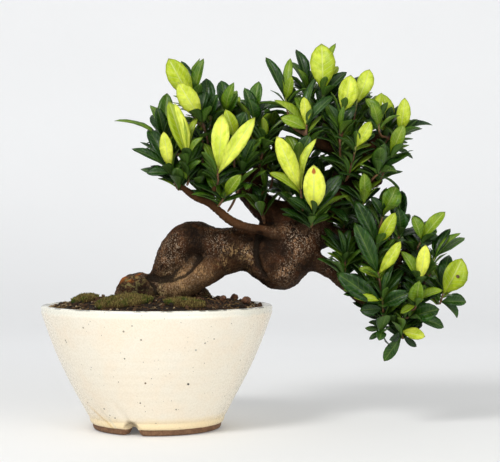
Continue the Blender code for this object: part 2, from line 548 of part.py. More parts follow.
SHOOTS = (
    # Left pad, front.
    shoot("shoot_left_01", WOOD, (9, -24, 168), (-0.4, -0.1, 1), 8, 3, 20, 0.2,
          (6, -31, 190, 9, 0, 0.95), (-15, -20, 179, 9, 40, 0.1), (-11, -12, 184, 7, 70, 0.08),
          (-5, -26, 164, 7.5, 25, 0.12), (-5, -15, 194, 10, 10, 0.15)),
    shoot("shoot_left_02", WOOD, (4, -14, 188), (-0.5, 0, 1), 10, 4, 22, 0.3,
          (-27, -20, 199, 6, 65, 0.45), (-3, -16, 210, 8, 30, 0.45), (7, -10, 216, 11, 0, 0.35),
          (1, -24, 206, 9, 20, 0.3)),
    shoot("shoot_left_03", WOOD, (21, -25, 174), (0, 0, 1), 6, 5, 22, 0.15,
          (14, -32, 208, 7, 30, 0.95), (9, -26, 210, 11, 5, 0.75), (30, -29, 187, 6, 40, 0.55),
          (29, -31, 172, 5, 20, 0.4), (27, -20, 200, 6.5, 30, 0.7)),
    shoot("shoot_left_04", "shoot_left_15", (29, -20, 200), (-0.3, -0.1, 1), 16, 4, 20, 0.15,
          (15, -27, 221, 14, 0, 0.92), (33, -16, 217, 9, 20, 0.2)),
    shoot("shoot_left_05", "shoot_left_04", (24, -10, 212), (0, 0, 1), 20, 4, 19, 0.3,
          (8, -14, 238, 15.5, 0, 0.82), (28, -10, 240, 6, 50, 0.45), (31, -7, 238, 8.5, 25, 0.42),
          (16, -3, 238, 7.5, 20, 0.1)),
    shoot("shoot_left_06", WOOD, (35, -10, 203), (0, 0, 1), 14, 6, 20, 0.15,
          (32, -10, 226, 11.5, 0, 0.12), (39, -17, 214, 9, 20, 0.25)),
    shoot("shoot_left_07", "shoot_left_06", (45, -8, 205), (0.1, 0, 1), 12, 5, 20, 0.25,
          (42, -6, 225, 11, 10, 0.15), (49, -12, 221, 8, 20, 0.45), (52, -17, 215, 9, 15, 0.35)),
    shoot("shoot_left_08", WOOD, (63, -8, 202), (0.1, 0, 1), 12, 5, 20, 0.2,
          (66, -8, 224, 10, 15, 0.35), (57, -9, 219, 9, 20, 0.3), (70, -10, 212, 9, 30, 0.2),
          (60, -19, 211, 9, 30, 0.3)),
    shoot("shoot_left_09", WOOD, (40, -29, 168), (0, -0.05, 1), 6, 4, 20, 0.12,
          (43, -32, 201, 12.5, 0, 0.97), (63, -33, 198, 11, 0, 0.95)),
    shoot("shoot_left_10", "shoot_left_12", (51, -20, 188), (0, -0.1, 1), 16, 4, 19, 0.2,
          (45, -25, 204, 9.5, 5, 0.8), (58, -25, 203, 11, 15, 0.25), (49, -22, 215, 7, 30, 0.6)),
    shoot("shoot_left_11", WOOD, (46, -26, 151), (0.6, -0.1, 0.8), 3, 2, 13, 0.4,
          (55, -27, 163, 8.5, 10, 0.6)),
    shoot("shoot_left_12", WOOD, (56, -20, 168), (0.2, -0.2, 1), 14, 5, 20, 0.15,
          (67, -26, 178, 7, 45, 0.35), (64, -27, 186, 8.5, 30, 0.25)),
    shoot("shoot_left_13", WOOD, (70, -14, 186), (0.2, -0.1, 1), 10, 8, 24, 0.12),
    shoot("shoot_left_14", WOOD, (27, -18, 160), (-0.3, -0.1, 0.6), 10, 6, 15, 0.2),
    shoot("shoot_left_15", WOOD, (30, -17, 185), (0, -0.2, 1), 10, 8, 20, 0.12),
    # Left pad, behind.
    shoot("shoot_left_16", "shoot_left_02", (8, 6, 184), (-0.8, 0.3, 0.8), 14, 8, 23, 0.25),
    shoot("shoot_left_17", "shoot_left_18", (27, 14, 206), (-0.1, 0.2, 1), 20, 8, 23, 0.35),
    shoot("shoot_left_18", WOOD, (49, 14, 204), (0.1, 0.2, 1), 16, 8, 23, 0.25),
    shoot("shoot_left_19", WOOD, (20, 32, 186), (-0.5, 0.7, 0.8), 12, 9, 24, 0.3),
    shoot("shoot_left_20", WOOD, (50, 38, 182), (0.1, 1, 0.6), 7, 9, 24, 0.3),
    shoot("shoot_left_21", "shoot_left_20", (66, 32, 196), (0.2, 0.4, 1), 12, 9, 22, 0.3),
    shoot("shoot_left_22", "shoot_left_19", (36, 32, 202), (0, 0.3, 1), 12, 9, 22, 0.35),
    # Upper right pad, front.
    shoot("shoot_right_01", "shoot_right_10", (83, -12, 213), (-0.15, 0, 1), 20, 4, 18, 0.2,
          (70, -8, 239, 8, 20, 0.12), (86, -10, 239, 8, 10, 0.55), (87, -20, 226, 7, 10, 0.6),
          (71, -8, 206, 5, 50, 0.3)),
    shoot("shoot_right_02", "shoot_right_03", (97, -3, 221), (-0.1, 0, 1), 16, 5, 19, 0.15,
          (91, -1, 246, 8.5, 20, 0.1), (92, -12, 231, 5, 30, 0.45)),
    shoot("shoot_right_03", WOOD, (107, -14, 218), (0, 0, 1), 12, 4, 20, 0.15,
          (106, -18, 247, 18, 0, 0.84), (114, -5, 249, 7, 30, 0.55), (117, -8, 234, 8, 20, 0.75),
          (122, -14, 229, 8, 20, 0.12)),
    shoot("shoot_right_04", "shoot_right_11", (119, -24, 203), (0.1, -0.1, 1), 18, 6, 20, 0.15,
          (124, -27, 226, 14, 0, 0.9)),
    shoot("shoot_right_05", WOOD, (129, -14, 211), (0.2, 0, 1), 22, 6, 20, 0.2,
          (137, -15, 231, 12, 0, 0.87)),
    shoot("shoot_right_06", "shoot_right_07", (142, -22, 199), (0, 0, 1), 12, 4, 18, 0.3,
          (144, -17, 216, 7, 30, 0.8), (134, -22, 212, 8.5, 20, 0.5), (145, -27, 206, 7, 30, 0.55),
          (137, -28, 208, 8, 10, 0.5)),
    shoot("shoot_right_07", WOOD, (149, -8, 195), (0.1, 0, 1), 14, 6, 20, 0.12,
          (146, -8, 216, 8.5, 25, 0.1), (151, -11, 207, 7, 20, 0.15)),
    shoot("shoot_right_08", "shoot_right_07", (157, -12, 192), (0.3, 0, 1), 16, 4, 18, 0.2,
          (159, -13, 212, 10, 0, 0.85), (178, -8, 197, 7, 55, 0.15)),
    shoot("shoot_right_09", WOOD, (151, -18, 177), (0.5, -0.1, 1), 14, 5, 19, 0.25,
          (158, -22, 195, 9.5, 10, 0.55)),
    shoot("shoot_right_10", WOOD, (96, -26, 196), (0, -0.1, 1), 8, 3, 17, 0.3,
          (94, -29, 212, 8, 10, 0.9), (75, -26, 210, 8, 40, 0.65), (80, -30, 199, 9.5, 15, 0.6),
          (113, -27, 214, 7.5, 25, 0.3), (101, -20, 226, 6.5, 40, 0.3)),
    shoot("shoot_right_11", WOOD, (117, -27, 193), (0, -0.15, 1), 14, 4, 17, 0.2,
          (109, -30, 207, 6, 30, 0.3), (126, -30, 206, 7.5, 20, 0.25), (119, -34, 206, 5, 20, 0.4)),
    shoot("shoot_right_12", WOOD, (127, -31, 182), (0.2, -0.2, 1), 20, 4, 15, 0.25,
          (136, -34, 196, 9, 0, 0.85), (139, -31, 189, 8.5, 30, 0.15)),
    shoot("shoot_right_13", WOOD, (144, -25, 166), (0.7, -0.1, 0.6), 8, 4, 16, 0.25,
          (154, -19, 173, 6, 55, 0.12), (154, -21, 165, 7, 45, 0.4)),
    shoot("shoot_right_14", WOOD, (134, -20, 149), (0.3, -0.3, 0.8), 8, 5, 17, 0.25,
          (132, -26, 164, 9, 10, 0.5), (144, -24, 165, 9, 10, 0.5)),
    shoot("shoot_right_15", "shoot_front_01", (90, -20, 174), (-0.2, -0.1, 1), 16, 6, 20, 0.15,
          (98, -24, 188, 10.5, 10, 0.15), (84, -17, 189, 9.5, 20, 0.55)),
    # Upper right pad, behind.
    shoot("shoot_right_16", "shoot_right_17", (90, 14, 206), (-0.4, 0.3, 1), 20, 9, 23, 0.3),
    shoot("shoot_right_17", WOOD, (112, 14, 218), (0, 0.2, 1), 18, 9, 23, 0.45),
    shoot("shoot_right_18", WOOD, (134, 12, 206), (0.3, 0.3, 1), 18, 9, 23, 0.35),
    shoot("shoot_right_19", WOOD, (153, 14, 186), (0.8, 0.3, 0.6), 14, 9, 22, 0.3),
    shoot("shoot_right_20", WOOD, (108, 40, 192), (-0.2, 1, 0.6), 14, 9, 24, 0.3),
    shoot("shoot_right_21", "shoot_right_20", (124, 36, 208), (0.2, 0.4, 1), 12, 9, 22, 0.35),
    shoot("shoot_right_22", "shoot_right_19", (144, 30, 178), (0.4, 0.8, 0.6), 12, 9, 21, 0.3),
    # Front spur, between the pads.
    shoot("shoot_front_01", WOOD, (92, -31, 155), (-0.1, -0.1, 1), 10, 3, 17, 0.15,
          (77, -35, 187, 12.5, 0, 0.93), (100, -35, 186, 7, 40, 0.9), (73, -33, 165, 7.5, 30, 0.7)),
    shoot("shoot_front_02", WOOD, (101, -31, 141), (0.2, -0.1, 1), 8, 3, 16, 0.12,
          (100, -37, 169, 15.5, 0, 1.0), (118, -33, 163, 10.5, 10, 0.12), (122, -30, 151, 5.5, 50, 0.5),
          (84, -28, 148, 7.5, 40, 0.15)),
    # The dark middle, between and behind the pads.
    shoot("shoot_middle_01", WOOD, (77, 2, 172), (0.2, -0.1, 1), 10, 9, 22, 0.1),
    shoot("shoot_middle_02", "shoot_middle_01", (77, 12, 194), (0.1, 0.2, 1), 14, 8, 20, 0.12),
    shoot("shoot_middle_03", WOOD, (86, 6, 158), (0.1, 0.1, 1), 8, 9, 21, 0.1),
    shoot("shoot_middle_04", WOOD, (108, 12, 160), (-0.2, 0.4, 1), 8, 9, 21, 0.1),
    shoot("shoot_middle_05", "shoot_middle_04", (98, 28, 176), (-0.2, 0.5, 1), 12, 9, 21, 0.2),
    # Cascade, front.
    shoot("shoot_cascade_01", WOOD, (144, -24, 85), (-0.1, -0.3, 1), 8, 2, 16, 0.2,
          (115, -27, 101, 13.5, 0, 0.15), (126, -27, 86, 6.5, 20, 0.75), (130, -22, 77, 10, 10, 0.2),
          (150, -27, 107, 6.5, 40, 0.2), (161, -31, 89, 10.5, 10, 0.2)),
    shoot("shoot_cascade_02", WOOD, (141, -25, 102), (-0.2, -0.1, 1), 12, 4, 18, 0.12,
          (126, -29, 133, 11.5, 5, 0.1), (129, -24, 104, 6, 20, 0.6), (155, -31, 121, 8.5, 0, 0.85)),
    shoot("shoot_cascade_03", "shoot_cascade_02", (141, -20, 121), (0.1, 0, 1), 10, 4, 18, 0.12,
          (127, -22, 147, 10.5, 5, 0.12), (152, -27, 139, 9.5, 0, 0.8)),
    shoot("shoot_cascade_04", WOOD, (146, -14, 141), (0.2, 0, 1), 8, 6, 18, 0.25,
          (154, -17, 156, 13.5, 0, 0.45), (138, -18, 149, 8, 20, 0.15)),
    shoot("shoot_cascade_05", "shoot_cascade_04", (157, -11, 128), (0.2, -0.1, 1), 14, 4, 18, 0.15,
          (155, -15, 142, 9.5, 10, 0.15), (158, -5, 154, 12.5, 20, 0.12), (163, -8, 139, 10, 35, 0.15)),
    shoot("shoot_cascade_06", WOOD, (171, -11, 123), (0.4, 0, 1), 8, 3, 15, 0.2,
          (165, -12, 137, 8.5, 10, 0.5), (185, -14, 140, 9, 20, 0.6), (181, -10, 125, 7, 25, 0.12)),
    shoot("shoot_cascade_07", "shoot_cascade_09", (167, -24, 97), (0, -0.1, 1), 14, 4, 17, 0.15,
          (171, -28, 119, 9.5, 5, 0.97), (157, -25, 115, 8, 20, 0.55)),
    shoot("shoot_cascade_08", WOOD, (184, -17, 89), (0.3, 0, 1), 6, 3, 16, 0.2,
          (195, -21, 110, 17, 0, 0.75), (188, -9, 113, 10.5, 20, 0.12), (199, -11, 102, 8, 35, 0.4),
          (198, -19, 82, 9.5, 20, 0.15), (194, -13, 72, 6.5, 35, 0.12)),
    shoot("shoot_cascade_09", WOOD, (166, -26, 84), (0.2, -0.3, 1), 8, 3, 16, 0.15,
          (181, -30, 91, 7, 40, 0.6), (166, -33, 96, 10.5, 20, 0.5), (155, -29, 76, 6, 35, 0.6)),
    shoot("shoot_cascade_10", "shoot_cascade_11", (178, -16, 110), (0.3, 0, 1), 16, 3, 14, 0.2,
          (194, -17, 127, 6, 50, 0.45)),
    shoot("shoot_cascade_11", WOOD, (173, -16, 100), (0.2, -0.1, 1), 8, 4, 18, 0.15),
    shoot("shoot_cascade_12", WOOD, (166, -17, 73), (0.6, -0.2, 0.1), 4, 4, 17, 0.15,
          (180, -24, 78, 13, 10, 0.2), (185, -14, 66, 8.5, 20, 0.15)),
    shoot("shoot_cascade_13", WOOD, (158, -14, 59), (0.2, -0.1, -1), 6, 2, 14, 0.15,
          (172, -19, 60, 8.5, 10, 0.85), (146, -14, 44, 8.5, 10, 0.2)),
    shoot("shoot_cascade_14", WOOD, (144, -16, 62), (-0.4, -0.2, -1), 4, 3, 13, 0.15,
          (142, -17, 58, 7.5, 10, 0.15), (136, -15, 69, 4, 30, 0.1)),
    shoot("shoot_cascade_15", WOOD, (121, -16, 112), (0, -0.1, 1), 8, 3, 13, 0.2,
          (117, -19, 129, 5.5, 30, 0.25), (124, -15, 129, 7.5, 30, 0.2)),
    shoot("shoot_cascade_20", WOOD, (122, 0, 139), (0.1, -0.1, 1), 4, 6, 15, 0.12),
    shoot("shoot_cascade_21", WOOD, (136, -14, 92), (-0.4, -0.2, 0.7), 6, 6, 17, 0.12),
    shoot("shoot_cascade_22", "shoot_cascade_18", (166, 6, 110), (0.3, 0, 1), 8, 7, 19, 0.15),
    # Cascade, behind.
    shoot("shoot_cascade_16", WOOD, (130, 26, 128), (-0.1, 0.6, 0.8), 10, 8, 21, 0.25),
    shoot("shoot_cascade_17", WOOD, (150, 18, 120), (0.2, 0.4, 1), 14, 9, 22, 0.3),
    shoot("shoot_cascade_18", WOOD, (168, 16, 98), (0.6, 0.4, 0.6), 12, 9, 22, 0.3),
    shoot("shoot_cascade_19", WOOD, (150, 22, 84), (0.1, 1, -0.1), 12, 8, 20, 0.25),
    shoot("shoot_cascade_23", "shoot_cascade_19", (162, 30, 92), (0.4, 0.8, 0.4), 10, 8, 20, 0.3),
    shoot("shoot_cascade_24", "shoot_cascade_16", (120, 26, 140), (-0.3, 0.3, 1), 10, 8, 20, 0.3),
)

# Where daylight shows between the pads: upright, front-to-back channels as (x, z, radius).
CLEARINGS = ((50, 140, 8), (30, 137, 9), (38, 158, 2.5), (72, 228, 6), (111, 140, 3), (116, 111, 2),
             (10, 152, 8), (12, 250, 9), (58, 236, 10), (150, 228, 12), (176, 158, 16), (160, 172, 3))


def ring(centre, side, up, radius):
    """Four points around a stem, counter-clockwise about its direction."""
    corners = (math.radians(45 + 90 * k) for k in range(4))
    return [centre + radius * (math.cos(a) * side + math.sin(a) * up) for a in corners]


class Body:
    """One shoot and what grows on it, kept as one closed body: whatever grows replaces a side face."""

    def __init__(self):
        self.points = []
        self.faces = []
        self.sides = []

    def add(self, points):
        first = len(self.points)
        self.points += points
        return list(range(first, first + len(points)))

    def bridge(self, lower, upper):
        return [(lower[k], lower[(k + 1) % 4], upper[(k + 1) % 4], upper[k]) for k in range(4)]

    def cap(self, last, apex):
        top = self.add([apex])[0]
        self.faces += [(last[k], last[(k + 1) % 4], top) for k in range(4)]

    def middle(self, face):
        return sum((self.points[i] for i in face), Vector()) / 4

    def outward(self, face):
        a, b, c, d = (self.points[i] for i in face)
        return (c - a).cross(d - b).normalized()


def matched(face_points, points):
    """The four points, turned round so that each lies nearest its corner of the face."""
    middle_a = sum(face_points, Vector()) / 4
    middle_b = sum(points, Vector()) / 4
    turns = [points[k:] + points[:k] for k in range(4)]

    def twist(turn):
        return sum(((p - middle_a).normalized() - (q - middle_b).normalized()).length_squared
                   for p, q in zip(face_points, turn))

    return min(turns, key=twist)


def grow_stem(body, start, stations, apex):
    """Grows a stem from its first ring through (centre, direction, radius) stations to its bud."""
    rings = [start]
    last = start
    corner = body.points[start[0]] - body.middle(start)
    for centre, direction, radius in stations:
        side = (corner - direction * corner.dot(direction)).normalized()
        side = Matrix.Rotation(math.radians(-45), 3, direction) @ side
        up = direction.cross(side)
        points = ring(centre, side, up, radius)
        corner = points[0] - centre
        last = body.add(points)
        rings.append(last)
    sides = []
    for level, (lower, upper) in enumerate(zip(rings, rings[1:])):
        sides += [(level, face) for face in body.bridge(lower, upper)]
    body.cap(last, apex)
    return sides


def stem_route(foot, away, tip, aim, zone, levels):
    """Stations along a stem that leaves its foot along `away` and ends straight, along `aim`."""
    neck = tip - aim * zone
    pull = (neck - foot).length * 0.4
    a, b, c, d = foot, foot + away * pull, neck - aim * pull, neck
    stations = []
    bare = 3
    for i in range(1, bare + 1):
        t = i / bare
        s = 1 - t
        place = s ** 3 * a + 3 * s * s * t * b + 3 * s * t * t * c + t ** 3 * d
        slope = (b - a) * s * s + 2 * (c - b) * s * t + (d - c) * t * t
        radius = STEM_FOOT_RADIUS + (STEM_TIP_RADIUS + 0.1 - STEM_FOOT_RADIUS) * t
        stations.append((place, slope.normalized(), radius))
    for i in range(1, levels + 1):
        stations.append((neck + aim * zone * i / levels, aim, STEM_TIP_RADIUS))
    return stations, bare


def leaf_rings(base, tip, normal, width, bend, grow=0.0, plain=False):
    """The leaf's rings of four points and its tip; `grow` makes it that much larger all round."""
    along = tip - base
    length = along.length
    axis = along / length
    normal = (normal - axis * normal.dot(axis)).normalized()
    side = normal.cross(axis)
    thick = LEAF_THICKNESS / 2 + grow
    found = []
    for share, part in ((PLAIN_CHEST, 0.98),) if plain else ((LEAF_SHOULDER, 0.78), (LEAF_CHEST, 0.98)):
        half = width * part / 2 + grow
        centre = base + along * share + normal * (bend * length * 4 * share * (1 - share))
        found.append([centre + side * half - normal * thick, centre + side * half + normal * thick,
                      centre - side * half + normal * thick, centre - side * half - normal * thick])
    return found, tip + axis * grow


class Obstacles:
    """Everything that has grown so far, to keep new growth clear of it."""

    def __init__(self, wood):
        self.wood = wood
        self.found = []

    def add(self, points, faces):
        low = Vector([min(p[i] for p in points) for i in range(3)])
        high = Vector([max(p[i] for p in points) for i in range(3)])
        self.found.append((low, high, BVHTree.FromPolygons(points, faces)))

    def hit(self, points, faces):
        shape = BVHTree.FromPolygons(points, faces)
        if shape.overlap(self.wood):
            return True
        low = [min(p[i] for p in points) for i in range(3)]
        high = [max(p[i] for p in points) for i in range(3)]
        for other_low, other_high, tree in self.found:
            if all(low[i] <= other_high[i] and high[i] >= other_low[i] for i in range(3)):
                if shape.overlap(tree):
                    return True
        return False


LEAF_FACES = ((3, 2, 1, 0), (0, 1, 5, 4), (1, 2, 6, 5), (2, 3, 7, 6), (3, 0, 4, 7),
              (4, 5, 9, 8), (5, 6, 10, 9), (6, 7, 11, 10), (7, 4, 8, 11),
              (8, 9, 12), (9, 10, 12), (10, 11, 12), (11, 8, 12))


def blade_shape(base, tip, normal, width, bend, grow):
    """The leaf beyond its stalk, as a closed shape to test for room."""
    (shoulder, chest), point = leaf_rings(base, tip, normal, width, bend, grow)
    middle = sum(shoulder, Vector()) / 4
    neck = base + (middle - base) * STALK_SHARE
    start = [neck + (p - middle) * STALK_SHARE for p in shoulder]
    return start + shoulder + chest + [point], LEAF_FACES


def has_room(start, away, stations, obstacles):
    """Whether a stem, a little fatter than it will be, stays clear beyond its very foot."""
    trial = Body()
    middle = sum(start, Vector()) / 4
    first = trial.add([p + (p - middle).normalized() * LEAF_SPACE + away * 2 * LEAF_SPACE for p in start])
    trial.faces.append(tuple(reversed(first)))
    fatter = [(centre, direction, radius + LEAF_SPACE) for centre, direction, radius in stations]
    last = stations[-1]
    sides = grow_stem(trial, first, fatter, last[0] + last[1] * 2.0)
    return not obstacles.hit(trial.points, trial.faces + [face for level, face in sides])


def plan_shoot(body, ways, row, wood, obstacles):
    """Grows the bare stem of one shoot and notes its side faces."""
    tip = Vector(row.tip)
    aim = Vector(row.aim).normalized()
    count = len(row.leaves) + row.more
    levels = max(2, math.ceil(count / 3))
    zone = LEVEL_HEIGHT * levels
    neck = tip - aim * zone
    if row.on == WOOD:
        for share in (1.0, 0.6, 0.3, 1.5, 2.2):
            near, away, _, _ = wood.find_nearest(neck - aim * row.reach * share)
            foot = near + away * STEM_GAP
            side = away.orthogonal().normalized()
            start = ring(foot, side, away.cross(side), STEM_FOOT_RADIUS)
            stations, bare = stem_route(foot, away, tip, aim, zone, levels)
            if has_room(start, away, stations, obstacles):
                break
        first = body.add(start)
        body.faces.append(tuple(reversed(first)))
    else:
        parent = ways[row.on]

        def awkwardness(entry):
            middle = body.middle(entry[1])
            return (middle - neck).length - 6 * body.outward(entry[1]).dot((neck - middle).normalized())

        for entry in sorted((entry for entry in parent if entry[0] < 4), key=awkwardness):
            foot = body.middle(entry[1])
            away = body.outward(entry[1])
            stations, bare = stem_route(foot, away, tip, aim, zone, levels)
            start = [body.points[i] for i in entry[1]]
            if has_room(start, away, stations, obstacles):
                break
        parent.remove(entry)
        first = list(entry[1])
    sides = grow_stem(body, first, stations, tip + aim * 1.6)
    ways[row.name] = sides
    obstacles.add([p.copy() for p in body.points], [face for level, face in sides])
    return Stem(row, body, sides, tip, aim, bare, levels)


# A leaf that has grown: where its stalk meets the stem, its tip, the way its face looks, its width, how far
# its middle bows out as a share of its length, and its age.
Grown = namedtuple("Grown", "base tip normal width bend age")

# A stem that has grown: its row in SHOOTS, its body, the side faces still free, and where its leaves go.
Stem = namedtuple("Stem", "row body sides tip aim bare levels")


def grow_leaf(stem, leaf, obstacles, level_wanted, plain):
    """Picks the side face of the stem that suits a leaf, and grows it there if there is room."""
    body = stem.body

    def cost(entry):
        level, face = entry
        turn = body.outward(face).dot((leaf.tip - body.middle(face)).normalized())
        return abs(level - level_wanted) * 0.25 - turn

    if not stem.sides:
        return None
    entry = min(stem.sides, key=cost)
    face = entry[1]
    base = body.middle(face)
    if body.outward(face).dot((leaf.tip - base).normalized()) < -0.1:
        return None
    shape = (base, leaf.tip, leaf.normal, leaf.width, leaf.bend)
    if obstacles.hit(*blade_shape(*shape, LEAF_SPACE)):
        return None
    stem.sides.remove(entry)
    obstacles.add(*blade_shape(*shape, 0.0))
    rings, point = leaf_rings(*shape, plain=plain)
    matching = matched([body.points[i] for i in face], rings[0])
    shift = rings[0].index(matching[0])
    last = list(face)
    for points in rings:
        upper = body.add(points[shift:] + points[:shift])
        body.faces += body.bridge(last, upper)
        last = upper
    body.cap(last, point)
    return leaf._replace(base=base)


def front_normal(base, tip, roll):
    """The way a hand-placed blade faces: the front, turned by `roll` towards the sky."""
    axis = (tip - base).normalized()
    front = Vector((0, -1, 0))
    front = (front - axis * front.dot(axis)).normalized()
    across = axis.cross(front)
    if across.z < 0:
        across.negate()
    angle = math.radians(roll)
    return front * math.cos(angle) + across * math.sin(angle)


def in_clearing(place):
    return any(math.hypot(place.x - x, place.z - z) < r for x, z, r in CLEARINGS)


def depth(row):
    """How many other shoots a shoot grows on."""
    return 0 if row.on == WOOD else 1 + depth(next(other for other in SHOOTS if other.name == row.on))


def place_by_hand(stem, leaf, obstacles):
    """Grows one leaf of the table, moved a little towards the front or the back if there is no room."""
    root = stem.tip - stem.aim * 4
    for push in (0, -3, 3, -6, 6, -9, 9, 12):
        end = Vector((leaf.x, leaf.y + push, leaf.z))
        normal = front_normal(root, end, leaf.roll)
        lean = (end - stem.tip).normalized().dot(stem.aim)
        level = stem.bare + (stem.levels - 1) * max(0.0, min(1.0, (lean + 0.2) / 1.1))
        for narrow in (1.0, 0.86):
            wanted = Grown(root, end, normal, leaf.width * narrow, 0.05, leaf.age)
            grown = grow_leaf(stem, wanted, obstacles, level, False)
            if grown:
                return grown
    return None


def place_by_rule(stem, share, start, chance, obstacles):
    """Grows one leaf on the golden-angle spiral, `share` of the way up from the lowest to the bud."""
    side = stem.aim.orthogonal().normalized()
    up = stem.aim.cross(side)
    row = stem.row
    for attempt in range(16):
        angle = start + chance.uniform(-0.3, 0.3) + attempt * 0.8
        lean = math.radians(74 - 46 * share + chance.uniform(-12, 12))
        length = row.length * (1.08 - 0.3 * share) * chance.uniform(0.85, 1.12) * (1 - 0.02 * attempt)
        level = stem.bare + (stem.levels - 1) * share
        root = stem.tip - stem.aim * LEVEL_HEIGHT * (stem.levels - share * (stem.levels - 1) - 0.5)
        radial = math.cos(angle) * side + math.sin(angle) * up
        direction = math.cos(lean) * stem.aim + math.sin(lean) * radial + Vector((0, 0, 0.12))
        end = root + direction.normalized() * length
        if in_clearing(end) or in_clearing((end + root) / 2):
            continue
        tilt = Vector((chance.uniform(-0.3, 0.3), chance.uniform(-0.3, 0.3), 0.7))
        age = min(1.0, max(0.0, row.age + 0.35 * share * share + chance.uniform(-0.12, 0.12)))
        wanted = Grown(root, end, stem.aim * 0.8 + tilt, length * chance.uniform(0.36, 0.44),
                       chance.uniform(0.03, 0.09), age)
        grown = grow_leaf(stem, wanted, obstacles, level, True)
        if grown:
            return grown
    return None


def plan_growth(wood):
    """Grows every shoot: stems first, then the leaves placed by hand, then those that follow the rule."""
    obstacles = Obstacles(wood)
    stems = []
    bodies = {}
    ways = {}
    owner = {}
    for row in sorted(SHOOTS, key=depth):
        name = row.name if row.on == WOOD else owner[row.on]
        owner[row.name] = name
        body = bodies.setdefault(name, Body())
        stems.append(plan_shoot(body, ways, row, wood, obstacles))
    leaves = {name: [] for name in bodies}
    missed = []
    for stem in stems:
        for leaf in sorted(stem.row.leaves, key=lambda one: -one.width):
            grown = place_by_hand(stem, leaf, obstacles)
            if grown:
                leaves[owner[stem.row.name]].append(grown)
            else:
                missed.append((stem.row.name, leaf))
    chance = random.Random(SEED)
    for stem in stems:
        start = chance.uniform(0, 2 * math.pi)
        for i in range(stem.row.more):
            share = i / (stem.row.more - 1)
            grown = place_by_rule(stem, share, start + i * GOLDEN_ANGLE, chance, obstacles)
            if grown:
                leaves[owner[stem.row.name]].append(grown)
    for stem in stems:
        stem.body.faces += [face for level, face in stem.sides]
    return bodies, leaves, missed


OLD_LEAF = (0.03, 0.09, 0.02)
YOUNG_LEAF = (0.50, 0.60, 0.05)


def make_shoots(wood):
    bodies, leaves, missed = plan_growth(surface_of(wood))
    for name, body in bodies.items():
        age = sum(leaf.age for leaf in leaves[name]) / max(1, len(leaves[name]))
        colour = tuple(a + (b - a) * age for a, b in zip(OLD_LEAF, YOUNG_LEAF))
        object_from(name, mesh_from(name, body.points, body.faces), material(name, colour, 0.45), 30)
    return leaves, missed


def raise_tree():
    """Lifts the grown tree with the rim, when the pot is taller than the one it was drawn over."""
    lift = Matrix.Translation((0, 0, (POT_HEIGHT - DRAWN_RIM) * MM))
    for obj in bpy.data.objects:
        obj.data.transform(lift)


# ---------------------------------------------------------------- the whole model

def centre_on_footprint():
    """Moves everything so that the origin lies under the middle of the bounding box."""
    corners = [v.co for obj in bpy.data.objects for v in obj.data.vertices]
    shift = Vector([-(min(c[i] for c in corners) + max(c[i] for c in corners)) / 2 for i in range(2)]
                   + [-min(c.z for c in corners)])
    for obj in bpy.data.objects:
        obj.data.transform(Matrix.Translation(shift))


def build():
    clear_scene()
    wood = make_wood()
    leaves, missed = make_shoots(wood)
    raise_tree()
    make_pot()
    make_drainage_mesh()
    make_mesh_clip()
    soil = make_soil(wood)
    ground = surface_of(soil)
    for row in MOSS_PADS:
        make_moss(*row, ground)
    for row in STONES:
        make_stone(*row, ground)
    centre_on_footprint()
    return leaves, missed


GROWN, MISSED = build()
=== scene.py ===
# %% [markdown]
# # A bonsai in a glazed pot
# This lesson dresses a plain model of a small bonsai: it gives the pot its speckled glaze, the
# trunk its bark, and every shoot its leaves. The plain model is the frame. Its pieces give the
# places and sizes, so each finished piece is made from the frame's own piece and stays where that
# one is.

# %% Load the frame
import math
import random

import bmesh
import bpy
import numpy as np
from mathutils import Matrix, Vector, noise
from mathutils.bvhtree import BVHTree


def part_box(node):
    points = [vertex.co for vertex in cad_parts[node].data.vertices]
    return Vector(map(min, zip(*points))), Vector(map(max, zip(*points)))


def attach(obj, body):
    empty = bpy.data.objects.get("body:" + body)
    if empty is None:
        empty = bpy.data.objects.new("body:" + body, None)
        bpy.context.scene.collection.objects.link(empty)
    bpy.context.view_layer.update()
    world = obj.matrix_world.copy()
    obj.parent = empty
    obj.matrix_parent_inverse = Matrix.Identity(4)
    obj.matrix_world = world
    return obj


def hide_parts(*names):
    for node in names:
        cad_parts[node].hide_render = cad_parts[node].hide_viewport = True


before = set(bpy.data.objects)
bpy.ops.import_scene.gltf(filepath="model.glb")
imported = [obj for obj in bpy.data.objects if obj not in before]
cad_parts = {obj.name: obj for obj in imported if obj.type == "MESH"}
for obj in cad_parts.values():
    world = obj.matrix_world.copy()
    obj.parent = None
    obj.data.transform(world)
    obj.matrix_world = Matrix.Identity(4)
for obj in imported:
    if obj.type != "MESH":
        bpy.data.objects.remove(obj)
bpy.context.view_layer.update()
MM = 0.001
SHOOTS = sorted(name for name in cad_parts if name.startswith("shoot"))
POT_LOW, POT_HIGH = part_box("pot")
AXIS = Vector(((POT_LOW[0] + POT_HIGH[0]) / 2, (POT_LOW[1] + POT_HIGH[1]) / 2, 0))
RIM = POT_HIGH[2]
print(len(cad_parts), "pieces in the frame,", len(SHOOTS), "of them shoots; rim at",
      round(RIM, 4))

# %% [markdown]
# ## Camera and studio
# The tree is seen straight from the front, a little above its rim, through a long lens, so that the
# pot's mouth is a thin ellipse. The studio is a white sweep: a floor that curves up into a wall, a
# soft sky, a key lamp and a fill. A curved sweep is used because a corner would draw a line behind
# the pot.

